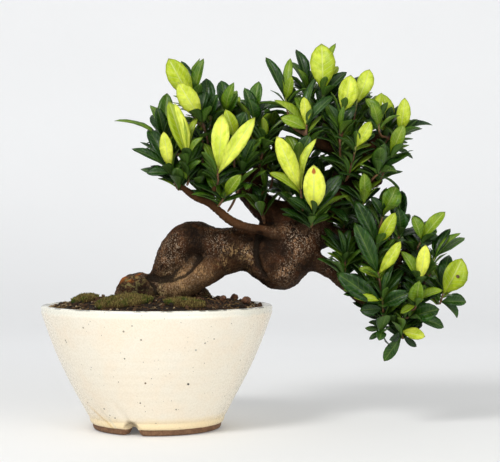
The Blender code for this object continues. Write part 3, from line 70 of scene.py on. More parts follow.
# %% The camera
EYE = AXIS + Vector((0.0603, -0.900, 0.132))
EYE_DISTANCE = 900   # millimetres from the eye to the pot's axis
LENS = 99.65
DAYLIGHT = (0.97, 0.985, 1.0, 1)
scene = bpy.context.scene
camera = bpy.data.objects.new("camera", bpy.data.cameras.new("camera"))
scene.collection.objects.link(camera)
scene.camera = camera
camera.location = EYE
camera.rotation_euler = (math.pi / 2, 0, 0)
camera.data.sensor_width = 36
camera.data.lens = LENS
camera.data.shift_y = -0.0144
camera.data.clip_start = 0.01
print("camera", [round(c, 3) for c in camera.location])

# %% [markdown]
# Node trees are long to write by hand, so a few short words come first: `put` adds one node and
# fills its sockets, with a value or a link, and the others are the nodes that are used most.

# %% Short words for node trees
def put(tree, kind, inputs=None, **settings):
    """Adds a node. `inputs` maps a socket's name or number to a value, or to a socket to link."""
    made = tree.nodes.new(kind)
    for name, value in settings.items():
        setattr(made, name, value)
    for key, value in (inputs or {}).items():
        if isinstance(value, bpy.types.NodeSocket):
            tree.links.new(value, made.inputs[key])
        else:
            made.inputs[key].default_value = value
    return made


def math_of(tree, operation, *values):
    return put(tree, "ShaderNodeMath", dict(enumerate(values)), operation=operation).outputs[0]


def times(tree, first, second):
    return math_of(tree, "MULTIPLY", first, second)


def plus(tree, first, second):
    return math_of(tree, "ADD", first, second)


def minus(tree, first, second):
    return math_of(tree, "SUBTRACT", first, second)


def vector_of(tree, operation, *values):
    made = put(tree, "ShaderNodeVectorMath", operation=operation)
    for index, value in enumerate(values):
        socket = made.inputs["Scale"] if operation == "SCALE" and index == 1 else made.inputs[index]
        if isinstance(value, bpy.types.NodeSocket):
            tree.links.new(value, socket)
        else:
            socket.default_value = value
    return made.outputs["Value"] if operation == "LENGTH" else made.outputs["Vector"]


def ramp_between(tree, value, low, high):
    """0 below `low`, 1 above `high` and a soft step between; `low` may be the larger."""
    return put(tree, "ShaderNodeMapRange", {0: value, 1: low, 2: high},
               interpolation_type="SMOOTHSTEP").outputs[0]


def mixed(tree, factor, first, second, how="MIX"):
    """Two colours or one colour over another; `factor` is a number or a mask."""
    return put(tree, "ShaderNodeMix", {0: factor, 6: first, 7: second},
               data_type="RGBA", blend_type=how).outputs[2]


def colour(red, green, blue):
    return (red, green, blue, 1.0)


def over(tree, below, mask, strength, tint):
    """A colour laid over another through a mask, at part of its strength."""
    return mixed(tree, times(tree, mask, strength), below, colour(*tint))


def attribute_of(tree, name):
    return put(tree, "ShaderNodeAttribute", attribute_name=name).outputs["Fac"]


def noise_of(tree, where, scale, detail=3.0, roughness=0.55, distortion=0.0):
    return put(tree, "ShaderNodeTexNoise", {
        "Vector": where, "Scale": scale, "Detail": detail, "Roughness": roughness,
        "Distortion": distortion}).outputs[0]


def new_material(name):
    """A material with one shader, and its Object coordinates in millimetres from the pot's foot."""
    made = bpy.data.materials.new(name)
    made.use_nodes = True
    tree = made.node_tree
    shader = tree.nodes["Principled BSDF"]
    place = put(tree, "ShaderNodeTexCoord").outputs["Object"]
    local = put(tree, "ShaderNodeVectorMath", {0: place, 1: tuple(-AXIS)},
                operation="ADD").outputs[0]
    where = put(tree, "ShaderNodeVectorMath", {0: local, "Scale": 1 / MM},
                operation="SCALE").outputs[0]
    return made, tree, shader, where


# %% Floor, wall and light
SWEEP_FRONT, SWEEP_BEND, SWEEP_RADIUS = -1.6, 0.9, 0.7
SWEEP_STEPS = 12
WALL_TOP, HALF_WIDTH = 2.6, 3.0
UNDER_POT = 0.0002


def make_sweep():
    """A floor with a wall behind it, joined by a wide curve."""
    profile = [(SWEEP_FRONT, 0.0), (SWEEP_BEND, 0.0)]
    for step in range(1, SWEEP_STEPS + 1):
        angle = math.pi / 2 * step / SWEEP_STEPS
        profile.append((SWEEP_BEND + SWEEP_RADIUS * math.sin(angle),
                        SWEEP_RADIUS - SWEEP_RADIUS * math.cos(angle)))
    profile.append((SWEEP_BEND + SWEEP_RADIUS, WALL_TOP))
    bm = bmesh.new()
    left = [bm.verts.new((-HALF_WIDTH, y, z - UNDER_POT)) for y, z in profile]
    right = [bm.verts.new((HALF_WIDTH, y, z - UNDER_POT)) for y, z in profile]
    for i in range(len(profile) - 1):
        bm.faces.new((left[i], right[i], right[i + 1], left[i + 1]))
    mesh = bpy.data.meshes.new("studio_sweep")
    bm.to_mesh(mesh)
    bm.free()
    mesh.shade_smooth()
    sweep = bpy.data.objects.new("studio_sweep", mesh)
    scene.collection.objects.link(sweep)
    made, tree, shader, where = new_material("white_sweep")
    shade = mixed(tree, noise_of(tree, where, 0.004, 2.0), colour(0.80, 0.80, 0.80), colour(0.84,
                                                                                            0.84,
                                                                                            0.84))
    shader.inputs["Roughness"].default_value = 0.75
    _, depth, height = put(tree, "ShaderNodeSeparateXYZ", {0: where}).outputs
    # Painted shade: the floor is darker near the pot and in front of it, lighter far back.
    near = times(tree, ramp_between(tree, height, 60.0, -1.0), ramp_between(tree, depth, 600.0,
                                                                            60.0))
    shade = mixed(tree, near, shade, colour(0.73, 0.725, 0.71))
    tree.links.new(shade, shader.inputs["Base Color"])
    # Painted light: the sweep glows faintly in daylight colour, more towards the top of the wall.
    painted_glow = times(tree, ramp_between(tree, height, -250.0, 280.0), 0.20)
    shader.inputs["Emission Color"].default_value = DAYLIGHT
    tree.links.new(painted_glow, shader.inputs["Emission Strength"])
    mesh.materials.append(made)


def make_lamp(name, place, target, size, watts):
    lamp = bpy.data.objects.new(name, bpy.data.lights.new(name, "AREA"))
    lamp.data.size = size
    lamp.data.energy = watts
    lamp.location = place
    lamp.rotation_euler = (Vector(target) - Vector(place)).to_track_quat("-Z", "Y").to_euler()
    scene.collection.objects.link(lamp)


make_sweep()
make_lamp("key_lamp", (-0.55, -0.92, 1.0), (0, 0, 0.10), 0.40, 11.5)
make_lamp("front_fill", (0.75, -1.1, 0.45), (0, 0, 0.10), 0.7, 6.1)
sky = bpy.data.worlds.new("studio_sky")
scene.world = sky
sky.use_nodes = True
sky.node_tree.nodes["Background"].inputs[0].default_value = DAYLIGHT
sky.node_tree.nodes["Background"].inputs[1].default_value = 0.60
scene.view_settings.view_transform = "Standard"
print("studio ready")

# %% [markdown]
# ## Shared effects
# Three effects turn up on more than one finish, so each is a node group that is built once and
# placed with its own values. `Mottle` is a soft cloud with a set sharpness, for glaze, bark, soil
# and leaves. `Specks` scatters round dots of uneven size, for iron in the glaze and grit in the
# clay. `Grain` is a fine height for bump.

# %% Shader groups
def new_group(name, inputs, outputs):
    """An empty shader group; inputs are (name, kind, default) and outputs (name, kind)."""
    tree = bpy.data.node_groups.new(name, "ShaderNodeTree")
    kinds = {"value": "NodeSocketFloat", "vector": "NodeSocketVector", "colour": "NodeSocketColor"}
    for label, kind, default in inputs:
        socket = tree.interface.new_socket(label, in_out="INPUT", socket_type=kinds[kind])
        if default is not None:
            socket.default_value = default
    for label, kind in outputs:
        tree.interface.new_socket(label, in_out="OUTPUT", socket_type=kinds[kind])
    return tree, tree.nodes.new("NodeGroupInput").outputs, tree.nodes.new("NodeGroupOutput").inputs


def make_mottle():
    tree, given, result = new_group("Mottle", [
        ("Vector", "vector", None), ("Scale", "value", 0.1), ("Detail", "value", 4.0),
        ("Level", "value", 0.5), ("Softness", "value", 0.1)], [("Mask", "value")])
    cloud = noise_of(tree, given["Vector"], given["Scale"], given["Detail"], 0.6, 0.3)
    low = minus(tree, given["Level"], given["Softness"])
    high = plus(tree, given["Level"], given["Softness"])
    tree.links.new(ramp_between(tree, cloud, low, high), result["Mask"])
    return tree


def make_specks():
    tree, given, result = new_group("Specks", [
        ("Vector", "vector", None), ("Spacing", "value", 5.0), ("Radius", "value", 0.5),
        ("Share", "value", 0.5)], [("Mask", "value"), ("Random", "value")])
    scale = math_of(tree, "DIVIDE", 1.0, given["Spacing"])
    cells = put(tree, "ShaderNodeTexVoronoi", {"Vector": given["Vector"], "Scale": scale,
                                               "Randomness": 1.0})
    chance = put(tree, "ShaderNodeSeparateColor", {0: cells.outputs["Color"]}).outputs
    reach = math_of(tree, "DIVIDE", given["Radius"], given["Spacing"])
    reach = times(tree, reach, plus(tree, 0.35, chance[1]))
    inside = ramp_between(tree, cells.outputs["Distance"], reach, times(tree, reach, 0.5))
    present = math_of(tree, "LESS_THAN", chance[0], given["Share"])
    tree.links.new(times(tree, inside, present), result["Mask"])
    tree.links.new(chance[2], result["Random"])
    return tree


def make_grain():
    tree, given, result = new_group("Grain", [("Vector", "vector", None), ("Scale", "value", 1.0),
                                              ("Lumps", "value", 0.5)], [("Height", "value")])
    fine = noise_of(tree, given["Vector"], given["Scale"], 5.0, 0.65)
    cells = put(tree, "ShaderNodeTexVoronoi", {"Vector": given["Vector"],
                                               "Scale": given["Scale"]}).outputs[0]
    lumps = times(tree, cells, given["Lumps"])
    tree.links.new(plus(tree, fine, lumps), result["Height"])
    return tree


MOTTLE = make_mottle()
SPECKS = make_specks()
GRAIN = make_grain()


def effect(tree, group, output, **inputs):
    return put(tree, "ShaderNodeGroup", inputs, node_tree=group).outputs[output]


def mottle(tree, where, scale, detail, level, softness):
    return effect(tree, MOTTLE, "Mask", Vector=where, Scale=scale, Detail=detail, Level=level,
                  Softness=softness)


def grain(tree, where, scale, lumps):
    return effect(tree, GRAIN, "Height", Vector=where, Scale=scale, Lumps=lumps)


def bump(tree, shader, height, strength, distance_mm):
    made = put(tree, "ShaderNodeBump", {"Height": height, "Strength": strength,
                                        "Distance": distance_mm * MM})
    tree.links.new(made.outputs[0], shader.inputs["Normal"])


print("groups", [group.name for group in (MOTTLE, SPECKS, GRAIN)])

# %% [markdown]
# ## Helpers for meshes
# A finished piece is one plain mesh at the origin. `piece_from` makes its object, lets it ride on
# the body and hides the frame's pieces that it stands for.

# %% From meshes to pieces
def piece_from(name, mesh, finish, slot, *nodes):
    if finish is not None:
        mesh.materials.clear()
        mesh.materials.append(finish)
    mesh.shade_smooth()
    made = bpy.data.objects.new(name, mesh)
    scene.collection.objects.link(made)
    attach(made, "root")
    if nodes:
        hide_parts(*nodes)
    return made


def welded_copy(node):
    """A mesh like the frame's, with the loose triangles' corners joined."""
    bm = bmesh.new()
    bm.from_mesh(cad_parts[node].data)
    bmesh.ops.remove_doubles(bm, verts=bm.verts, dist=1e-6)
    return bm


def evaluated(obj):
    """The plain mesh that an object's modifiers make."""
    graph = bpy.context.evaluated_depsgraph_get()
    mesh = bpy.data.meshes.new_from_object(obj.evaluated_get(graph))
    obj.modifiers.clear()
    return mesh


def settle(obj):
    """Makes what an object's modifiers give its own mesh."""
    mesh = evaluated(obj)
    old = obj.data
    obj.data = mesh
    bpy.data.meshes.remove(old)


def modified(obj, kind, **settings):
    """Adds one modifier, makes it the object's mesh and takes it away again."""
    made = obj.modifiers.new(kind.title(), kind)
    for name, value in settings.items():
        setattr(made, name, value)
    settle(obj)


def object_of(name, bm):
    """A new object whose mesh is what a bmesh holds, which is then freed."""
    mesh = bpy.data.meshes.new(name)
    bm.to_mesh(mesh)
    bm.free()
    made = bpy.data.objects.new(name, mesh)
    scene.collection.objects.link(made)
    return made


def set_attribute(mesh, name, values, kind="FLOAT"):
    made = mesh.attributes.new(name, kind, "POINT")
    field = "vector" if kind == "FLOAT_VECTOR" else "value"
    kept_as = bool if kind == "BOOLEAN" else np.float32
    made.data.foreach_set(field, np.asarray(values, dtype=kept_as).ravel())


def grid_faces(rows, columns):
    """Quads over `rows` closed rings of `columns` points."""
    found = []
    for i in range(rows - 1):
        for k in range(columns):
            a = i * columns + k
            b = i * columns + (k + 1) % columns
            found.append((a, b, b + columns, a + columns))
    return found


# %% [markdown]
# ## The pot
# The pot is thrown on a wheel, so it is a profile turned round its axis, with fine rings left by
# the fingers and a slight wobble. The foot is pinched open at three places to let the water out.
# All that is a rule of angle and height, so one function gives the wall's place, and the faces
# follow.

# %% The pot's shape
POT_HEIGHT = RIM / MM
MOUTH_RADIUS = (POT_HIGH[0] - POT_LOW[0]) / 2 / MM
POT_WALL = 5.0
FOOT_RADIUS = 42.0
NOTCH_ANGLES = [math.radians(252 + 120 * i) for i in range(3)]
POT_COLUMNS = 288


def pot_profile():
    """(radius, height) points in millimetres, from under the foot over the rim to the inside."""
    top = POT_HEIGHT
    points = [(8.0, 9.6), (8.0, 3.9), (9.0, 3.6), (22.0, 3.6), (33.0, 3.6), (34.0, 3.0),
              (34.3, 0.6), (34.9, 0.1), (36.5, 0.0), (38.5, 0.0), (40.0, 0.1), (41.0, 0.5),
              (41.5, 1.6), (41.6, 2.8), (41.9, 3.7), (42.5, 4.1), (43.1, 4.6), (43.5, 5.6),
              (43.7, 6.8), (43.8, 7.6), (43.95, 8.2), (44.4, 8.7), (45.0, 9.5)]
    start = (45.0, 9.5)
    wall_top = top - 6.5
    for i in range(1, 41):
        t = i / 40
        z = start[1] + (wall_top - start[1]) * t
        r = start[0] + (MOUTH_RADIUS - 0.5 - start[0]) * t + 2.0 * math.sin(math.pi * t)
        points.append((r - 0.25 * t ** 6, z))
    points += [(MOUTH_RADIUS - 0.45, top - 5.6), (MOUTH_RADIUS - 0.15, top - 4.8), (MOUTH_RADIUS,
                                                                                    top - 3.9),
               (MOUTH_RADIUS - 0.25, top - 3.2), (MOUTH_RADIUS - 0.2, top - 2.4),
               (MOUTH_RADIUS - 0.05, top - 1.6), (MOUTH_RADIUS - 0.3, top - 0.8),
               (MOUTH_RADIUS - 0.9, top - 0.25), (MOUTH_RADIUS - 1.8, top), (MOUTH_RADIUS - 2.8,
                                                                             top - 0.05),
               (MOUTH_RADIUS - 3.8, top - 0.4), (MOUTH_RADIUS - 4.6, top - 1.1),
               (MOUTH_RADIUS - POT_WALL, top - 2.2)]
    for i in range(1, 17):
        t = i / 16
        z = top - 2.2 - (top - 2.2 - 14.0) * t
        outer = MOUTH_RADIUS - 0.5 - (MOUTH_RADIUS - 47.0) * t ** 1.05
        points.append((min(MOUTH_RADIUS - POT_WALL - 0.1, outer - POT_WALL + 0.4), z))
    points += [(40.0, 11.0), (37.0, 9.8), (30.0, 9.6), (18.0, 9.6)]
    return points


def thrown(radius, height, angle):
    """One point of the finished wall: the profile with rings, wobble and pinched foot."""
    direction = Vector((math.cos(angle), math.sin(angle), 0))
    wall = min(1.0, max(0.0, (height - 9.0) / 12)) if radius > 40 else 0.0
    slow = math.sin(height * 1.15 + 0.6 * math.sin(angle))
    rings = 0.10 * slow + 0.07 * math.sin(height * 2.7 + 1)
    wobble = 0.30 * noise.noise(direction * 1.3 + Vector((0, 0, height / 45)))
    radius += wall * (rings * 0.6 + wobble - 0.12)
    for middle in NOTCH_ANGLES:
        off = (angle - middle + math.pi) % (2 * math.pi) - math.pi
        across = off * FOOT_RADIUS
        if radius > 30 and height < 12:
            lift = 5.6 * math.exp(-(across / 4.6) ** 4)
            height += lift * max(0.0, 1 - height / 9.0) ** 0.8
        if radius > 40 and height < 30:
            crease = across + 0.42 * (height - 4)
            radius -= 1.5 * math.exp(-(crease / 2.1) ** 2) * max(0.0, 1 - height / 26)
    return Vector((0, 0, height)) + direction * radius


def make_pot_mesh():
    profile = pot_profile()
    points = []
    for radius, height in profile:
        for k in range(POT_COLUMNS):
            points.append(AXIS + thrown(radius, height, 2 * math.pi * k / POT_COLUMNS) * MM)
    faces = grid_faces(len(profile), POT_COLUMNS)
    last = (len(profile) - 1) * POT_COLUMNS
    faces += [(last + k, last + (k + 1) % POT_COLUMNS, (k + 1) % POT_COLUMNS, k)
              for k in range(POT_COLUMNS)]
    mesh = bpy.data.meshes.new("pot_body")
    mesh.from_pydata(points, [], faces)
    bm = bmesh.new()
    bm.from_mesh(mesh)
    bmesh.ops.recalc_face_normals(bm, faces=bm.faces)
    bm.to_mesh(mesh)
    bm.free()
    return mesh


# %% [markdown]
# The glaze is a warm cream that pools thick and breaks thin. It is whiter and bluer along the rim,
# ochre where it runs to the foot, and dotted with iron. Below a wavy line the brown clay is bare
# and rough. Most dots come from `Specks`; the few large ones are placed one by one.

# %% Glaze and clay
GLAZE_SPOTS = (
    # x, height, radius and colour, on the front of the pot
    (-3.3, 35.0, 0.75, (0.12, 0.07, 0.03)), (22.5, 33.9, 0.85, (0.02, 0.015, 0.012)),
    (-48.5, 13.5, 1.1, (0.50, 0.27, 0.03)), (-15.5, 50.5, 0.55, (0.05, 0.03, 0.02)),
    (-7.0, 22.0, 0.6, (0.10, 0.07, 0.05)), (14.8, 17.5, 0.65, (0.12, 0.09, 0.07)),
    (-23.6, 11.2, 0.5, (0.12, 0.09, 0.07)), (-70.5, 30.5, 0.5, (0.10, 0.07, 0.05)),
    (27.5, 55.5, 0.8, (0.45, 0.42, 0.36)), (38.5, 62.0, 0.55, (0.06, 0.04, 0.03)),
    (0.5, 38.0, 0.35, (0.10, 0.07, 0.05)), (-20.0, 35.4, 0.45, (0.18, 0.12, 0.08)),
)


def patch(tree, where, centre, radius):
    """A soft round mask about a point, in millimetres from the pot's foot."""
    apart = put(tree, "ShaderNodeVectorMath", {0: where, 1: centre},
                operation="DISTANCE").outputs["Value"]
    return ramp_between(tree, apart, radius, radius * 0.45)


def make_glaze():
    made, tree, shader, where = new_material("speckled_glaze")
    x, y, z = put(tree, "ShaderNodeSeparateXYZ", {0: where}).outputs
    clouds = mottle(tree, where, 0.03, 3.0, 0.5, 0.22)
    glaze = mixed(tree, clouds, colour(0.825, 0.735, 0.585), colour(0.815, 0.755, 0.63))
    fine = mottle(tree, where, 0.9, 4.0, 0.47, 0.14)
    glaze = over(tree, glaze, fine, 0.35, (0.85, 0.79, 0.675))
    warm = mottle(tree, where, 0.05, 2.0, 0.56, 0.16)
    glaze = over(tree, glaze, warm, 0.5, (0.835, 0.71, 0.55))
    wave = times(tree, minus(tree, noise_of(tree, where, 0.12), 0.5), 3.4)
    level = plus(tree, z, wave)
    near_rim = ramp_between(tree, level, POT_HEIGHT - 5.5, POT_HEIGHT - 3.0)
    glaze = over(tree, glaze, near_rim, 0.55, (0.74, 0.75, 0.67))
    near_foot = ramp_between(tree, level, 13.0, 6.0)
    glaze = over(tree, glaze, near_foot, 0.75, (0.84, 0.66, 0.36))
    for gap, size, share, strength in ((2.3, 0.34, 0.34, 0.80), (5.4, 0.62, 0.42, 0.95)):
        dots = put(tree, "ShaderNodeGroup", {"Vector": where, "Spacing": gap, "Radius": size,
                                             "Share": share}, node_tree=SPECKS).outputs
        dot_colour = mixed(tree, dots["Random"], colour(0.05, 0.03, 0.02), colour(0.30, 0.24, 0.16))
        glaze = mixed(tree, times(tree, dots["Mask"], strength), glaze, dot_colour)
    front = math_of(tree, "LESS_THAN", y, 0.0)
    for spot_x, spot_z, radius, tint in GLAZE_SPOTS:
        flat = put(tree, "ShaderNodeCombineXYZ", {0: x, 2: z}).outputs[0]
        apart = put(tree, "ShaderNodeVectorMath", {0: flat, 1: (spot_x, 0, spot_z)},
                    operation="DISTANCE").outputs["Value"]
        apart = plus(tree, apart, times(tree, wave, 0.12))
        mask = times(tree, ramp_between(tree, apart, radius, radius * 0.55), front)
        glaze = mixed(tree, mask, glaze, colour(*tint))
    for start_x, start_z, end_x, end_z, tint in ((-45, 21, -24, 3, (0.62, 0.42, 0.14)),
                                                 (-37, 22, -26, 8, (0.66, 0.60, 0.46))):
        run = math.hypot(end_x - start_x, end_z - start_z)
        off = minus(tree, times(tree, minus(tree, x, start_x), (end_z - start_z) / run),
                    times(tree, minus(tree, z, start_z), (end_x - start_x) / run))
        off = plus(tree, off, times(tree, wave, 0.35))
        line = times(tree, ramp_between(tree, math_of(tree, "ABSOLUTE", off), 1.0, 0.2),
                     times(tree, ramp_between(tree, z, start_z, start_z * 0.6), front))
        glaze = over(tree, glaze, line, 0.55, tint)
    # Painted shade: the dark inside of the front notch in the foot.
    notch_shade = times(tree, patch(tree, where, (-14, -42, 5), 6.0), 0.92)
    glaze = mixed(tree, notch_shade, glaze, colour(0.075, 0.048, 0.02))
    thin = mottle(tree, where, 0.12, 5.0, 0.50, 0.05)
    edge = times(tree, ramp_between(tree, z, POT_HEIGHT - 1.0, POT_HEIGHT - 0.3), thin)
    glaze = over(tree, glaze, edge, 0.75, (0.05, 0.05, 0.035))
    bare = ramp_between(tree, plus(tree, z, times(tree, wave, 0.35)), 4.2, 3.7)
    grit = mottle(tree, where, 0.6, 5.0, 0.5, 0.2)
    clay = mixed(tree, grit, colour(0.13, 0.06, 0.028), colour(0.24, 0.13, 0.065))
    tree.links.new(mixed(tree, bare, glaze, clay), shader.inputs["Base Color"])
    shine = plus(tree, 0.20, times(tree, fine, 0.12))
    tree.links.new(put(tree, "ShaderNodeMix", {0: bare, 2: shine, 3: 0.85}).outputs[0],
                   shader.inputs["Roughness"])
    shader.inputs["Specular IOR Level"].default_value = 0.45
    height = grain(tree, where, 0.22, 0.15)
    rough_clay = times(tree, grain(tree, where, 1.2, 0.5), bare)
    bump(tree, shader, plus(tree, height, rough_clay), 0.12, 0.5)
    return made


pot = piece_from("pot_body", make_pot_mesh(), make_glaze(), "glaze", "pot")
print("pot", len(pot.data.polygons), "faces")

# %% [markdown]
# ## The wood
# Roots, trunk and branches grew as one, and the frame's piece has their shape with wide facets. A
# finer skin is made by subdividing a copy, remeshing it into small even faces and smoothing it.
# Then every point moves by the bark: broad lumps, ridges that run round the wood where it has
# folded, and fine flakes. How far a point lies in a hollow is kept on the mesh, so that the colour
# can paint shade there.

# %% The fine skin
BARK_VOXEL = 0.74
# Folds where two limbs have grown together: runs of (x, z) from the pot's axis, on the front, with
# depth.
FOLDS = (
    (((-5, 98), (3, 96), (10, 97), (17, 99), (22, 103), (28, 110)), 2.6, 1.9),
    (((66, 125), (64.5, 119), (64, 112), (65.5, 105), (69, 99)), 2.6, 2.0),
    (((-4, 96), (-1, 91), (1, 84)), 1.6, 1.6),
    (((84, 124), (88, 118), (87, 111)), 0.6, 1.6),
    (((40, 124), (52, 122), (62, 122)), 0.5, 1.8),
)


def fold_depth(x, z):
    """How deep the folds lie at a place on the front, in millimetres."""
    depth = 0.0
    for run, deep, wide in FOLDS:
        near = 1e9
        for (ax, az), (bx, bz) in zip(run, run[1:]):
            t = ((x - ax) * (bx - ax) + (z - az) * (bz - az)) / ((bx - ax) ** 2 + (bz - az) ** 2)
            t = min(1.0, max(0.0, t))
            near = min(near, math.hypot(x - ax - t * (bx - ax), z - az - t * (bz - az)))
        depth = max(depth, deep * math.exp(-(near / wide) ** 2))
    return depth


def fine_wood():
    wood = object_of("trunk_and_branches_bark", welded_copy("trunk_and_branches"))
    modified(wood, "SUBSURF", levels=1, render_levels=1)
    modified(wood, "REMESH", mode="VOXEL", voxel_size=BARK_VOXEL * MM)
    modified(wood, "SMOOTH", factor=0.5, iterations=5)
    return wood


def bark_height(place, thickness):
    """How far the bark stands out at a place, in millimetres."""
    lumps = noise.noise(place / 9.0) * 0.75 + noise.noise(place / 4.2 + Vector((7, 3, 1))) * 0.45
    stretched = Vector((place.x / 1.3, place.y / 2.2, place.z / 2.0))
    ridges = 1 - abs(noise.noise(stretched / 1.1))
    flakes = noise.fractal(place / 1.7, 0.9, 2.0, 3)
    fine = 0.30 * ridges ** 3 + 0.20 * flakes
    return lumps * min(1.0, thickness / 8) + fine * min(1.0, thickness / 4)


def table_of(items, field, columns, kind):
    """One field of all vertices or edges, as an array with a row for each."""
    values = np.empty(len(items) * columns, dtype=kind)
    items.foreach_get(field, values)
    return values.reshape(-1, columns)


def make_wood():
    wood = fine_wood()
    mesh = wood.data
    count = len(mesh.vertices)
    places = table_of(mesh.vertices, "co", 3, np.float32)
    normals = table_of(mesh.vertices, "normal", 3, np.float32)
    edges = table_of(mesh.edges, "vertices", 2, np.int32)
    degree = np.bincount(edges.ravel(), minlength=count)[:, None]
    tree = BVHTree.FromPolygons([Vector(p) for p in places],
                                [tuple(p.vertices) for p in mesh.polygons])
    heights = np.zeros(count, dtype=np.float32)
    folded = np.zeros(count, dtype=np.float32)
    for i in range(count):
        inward = Vector(normals[i])
        hit = tree.ray_cast(Vector(places[i]) - inward * 0.0004, -inward, 0.04)
        thickness = hit[3] / MM if hit[0] is not None else 20.0
        local = (Vector(places[i]) - AXIS) / MM
        heights[i] = bark_height(local, thickness)
        if normals[i][1] < 0.2:
            folded[i] = fold_depth(local.x, local.z) * min(1.0, 0.3 - float(normals[i][1]))
            heights[i] -= folded[i]
    moved = places + normals * heights[:, None] * MM
    blurred = moved.copy()
    for _ in range(14):
        total = np.zeros_like(blurred)
        np.add.at(total, edges[:, 0], blurred[edges[:, 1]])
        np.add.at(total, edges[:, 1], blurred[edges[:, 0]])
        blurred = total / degree
    # How deep each point lies in a hollow, kept for the painted shade in the bark's colour.
    hollow_shade = ((blurred - moved) * normals).sum(axis=1) / MM
    mesh.vertices.foreach_set("co", moved.ravel())
    set_attribute(mesh, "hollow_shade", hollow_shade + 0.22 * folded)
    set_attribute(mesh, "facing_up", normals[:, 2])
    bpy.data.objects.remove(wood)
    mesh.update()
    return mesh


# %% [markdown]
# The bark is a smooth, warm brown skin that has weathered in patches: tan and grey flecks where the
# surface stands out, a rusty patch on the root's knob and a green film of algae near the soil.
# Shade is painted on it too: dark in the folds and hollows, on the undersides and in listed
# patches. The patches are masks from place and noise, laid over each other.

# %% Bark
# Painted shade with some dark wet bark, then pale worn bark: x, y, height and radius in
# millimetres.
DARK_PLACES = ((25, -14, 116, 10), (49, -16, 109, 5.5), (67, -16, 121, 10), (67, -14, 110, 8),
               (78, -18, 117, 9), (74, -18, 106, 6), (-9, -14, 90, 8), (24, -12, 126, 9),
               (98, -12, 105, 10))
PALE_PLACES = ((10, -15, 113, 14), (59, -16, 112, 8), (91, -14, 122, 15), (20, -18, 92, 15),
               (82, -18, 97, 10), (40, -16, 118, 9))


def places(tree, where, spots, shift):
    """One mask over several soft round places with uneven edges."""
    total = 0.0
    for x, y, z, radius in spots:
        apart = put(tree, "ShaderNodeVectorMath", {0: where, 1: (x, y, z)},
                    operation="DISTANCE").outputs["Value"]
        apart = plus(tree, apart, times(tree, minus(tree, shift, 0.5), 12.0))
        mask = ramp_between(tree, apart, radius * 1.35, radius * 0.2)
        total = mask if total == 0.0 else math_of(tree, "MAXIMUM", total, mask)
    return total


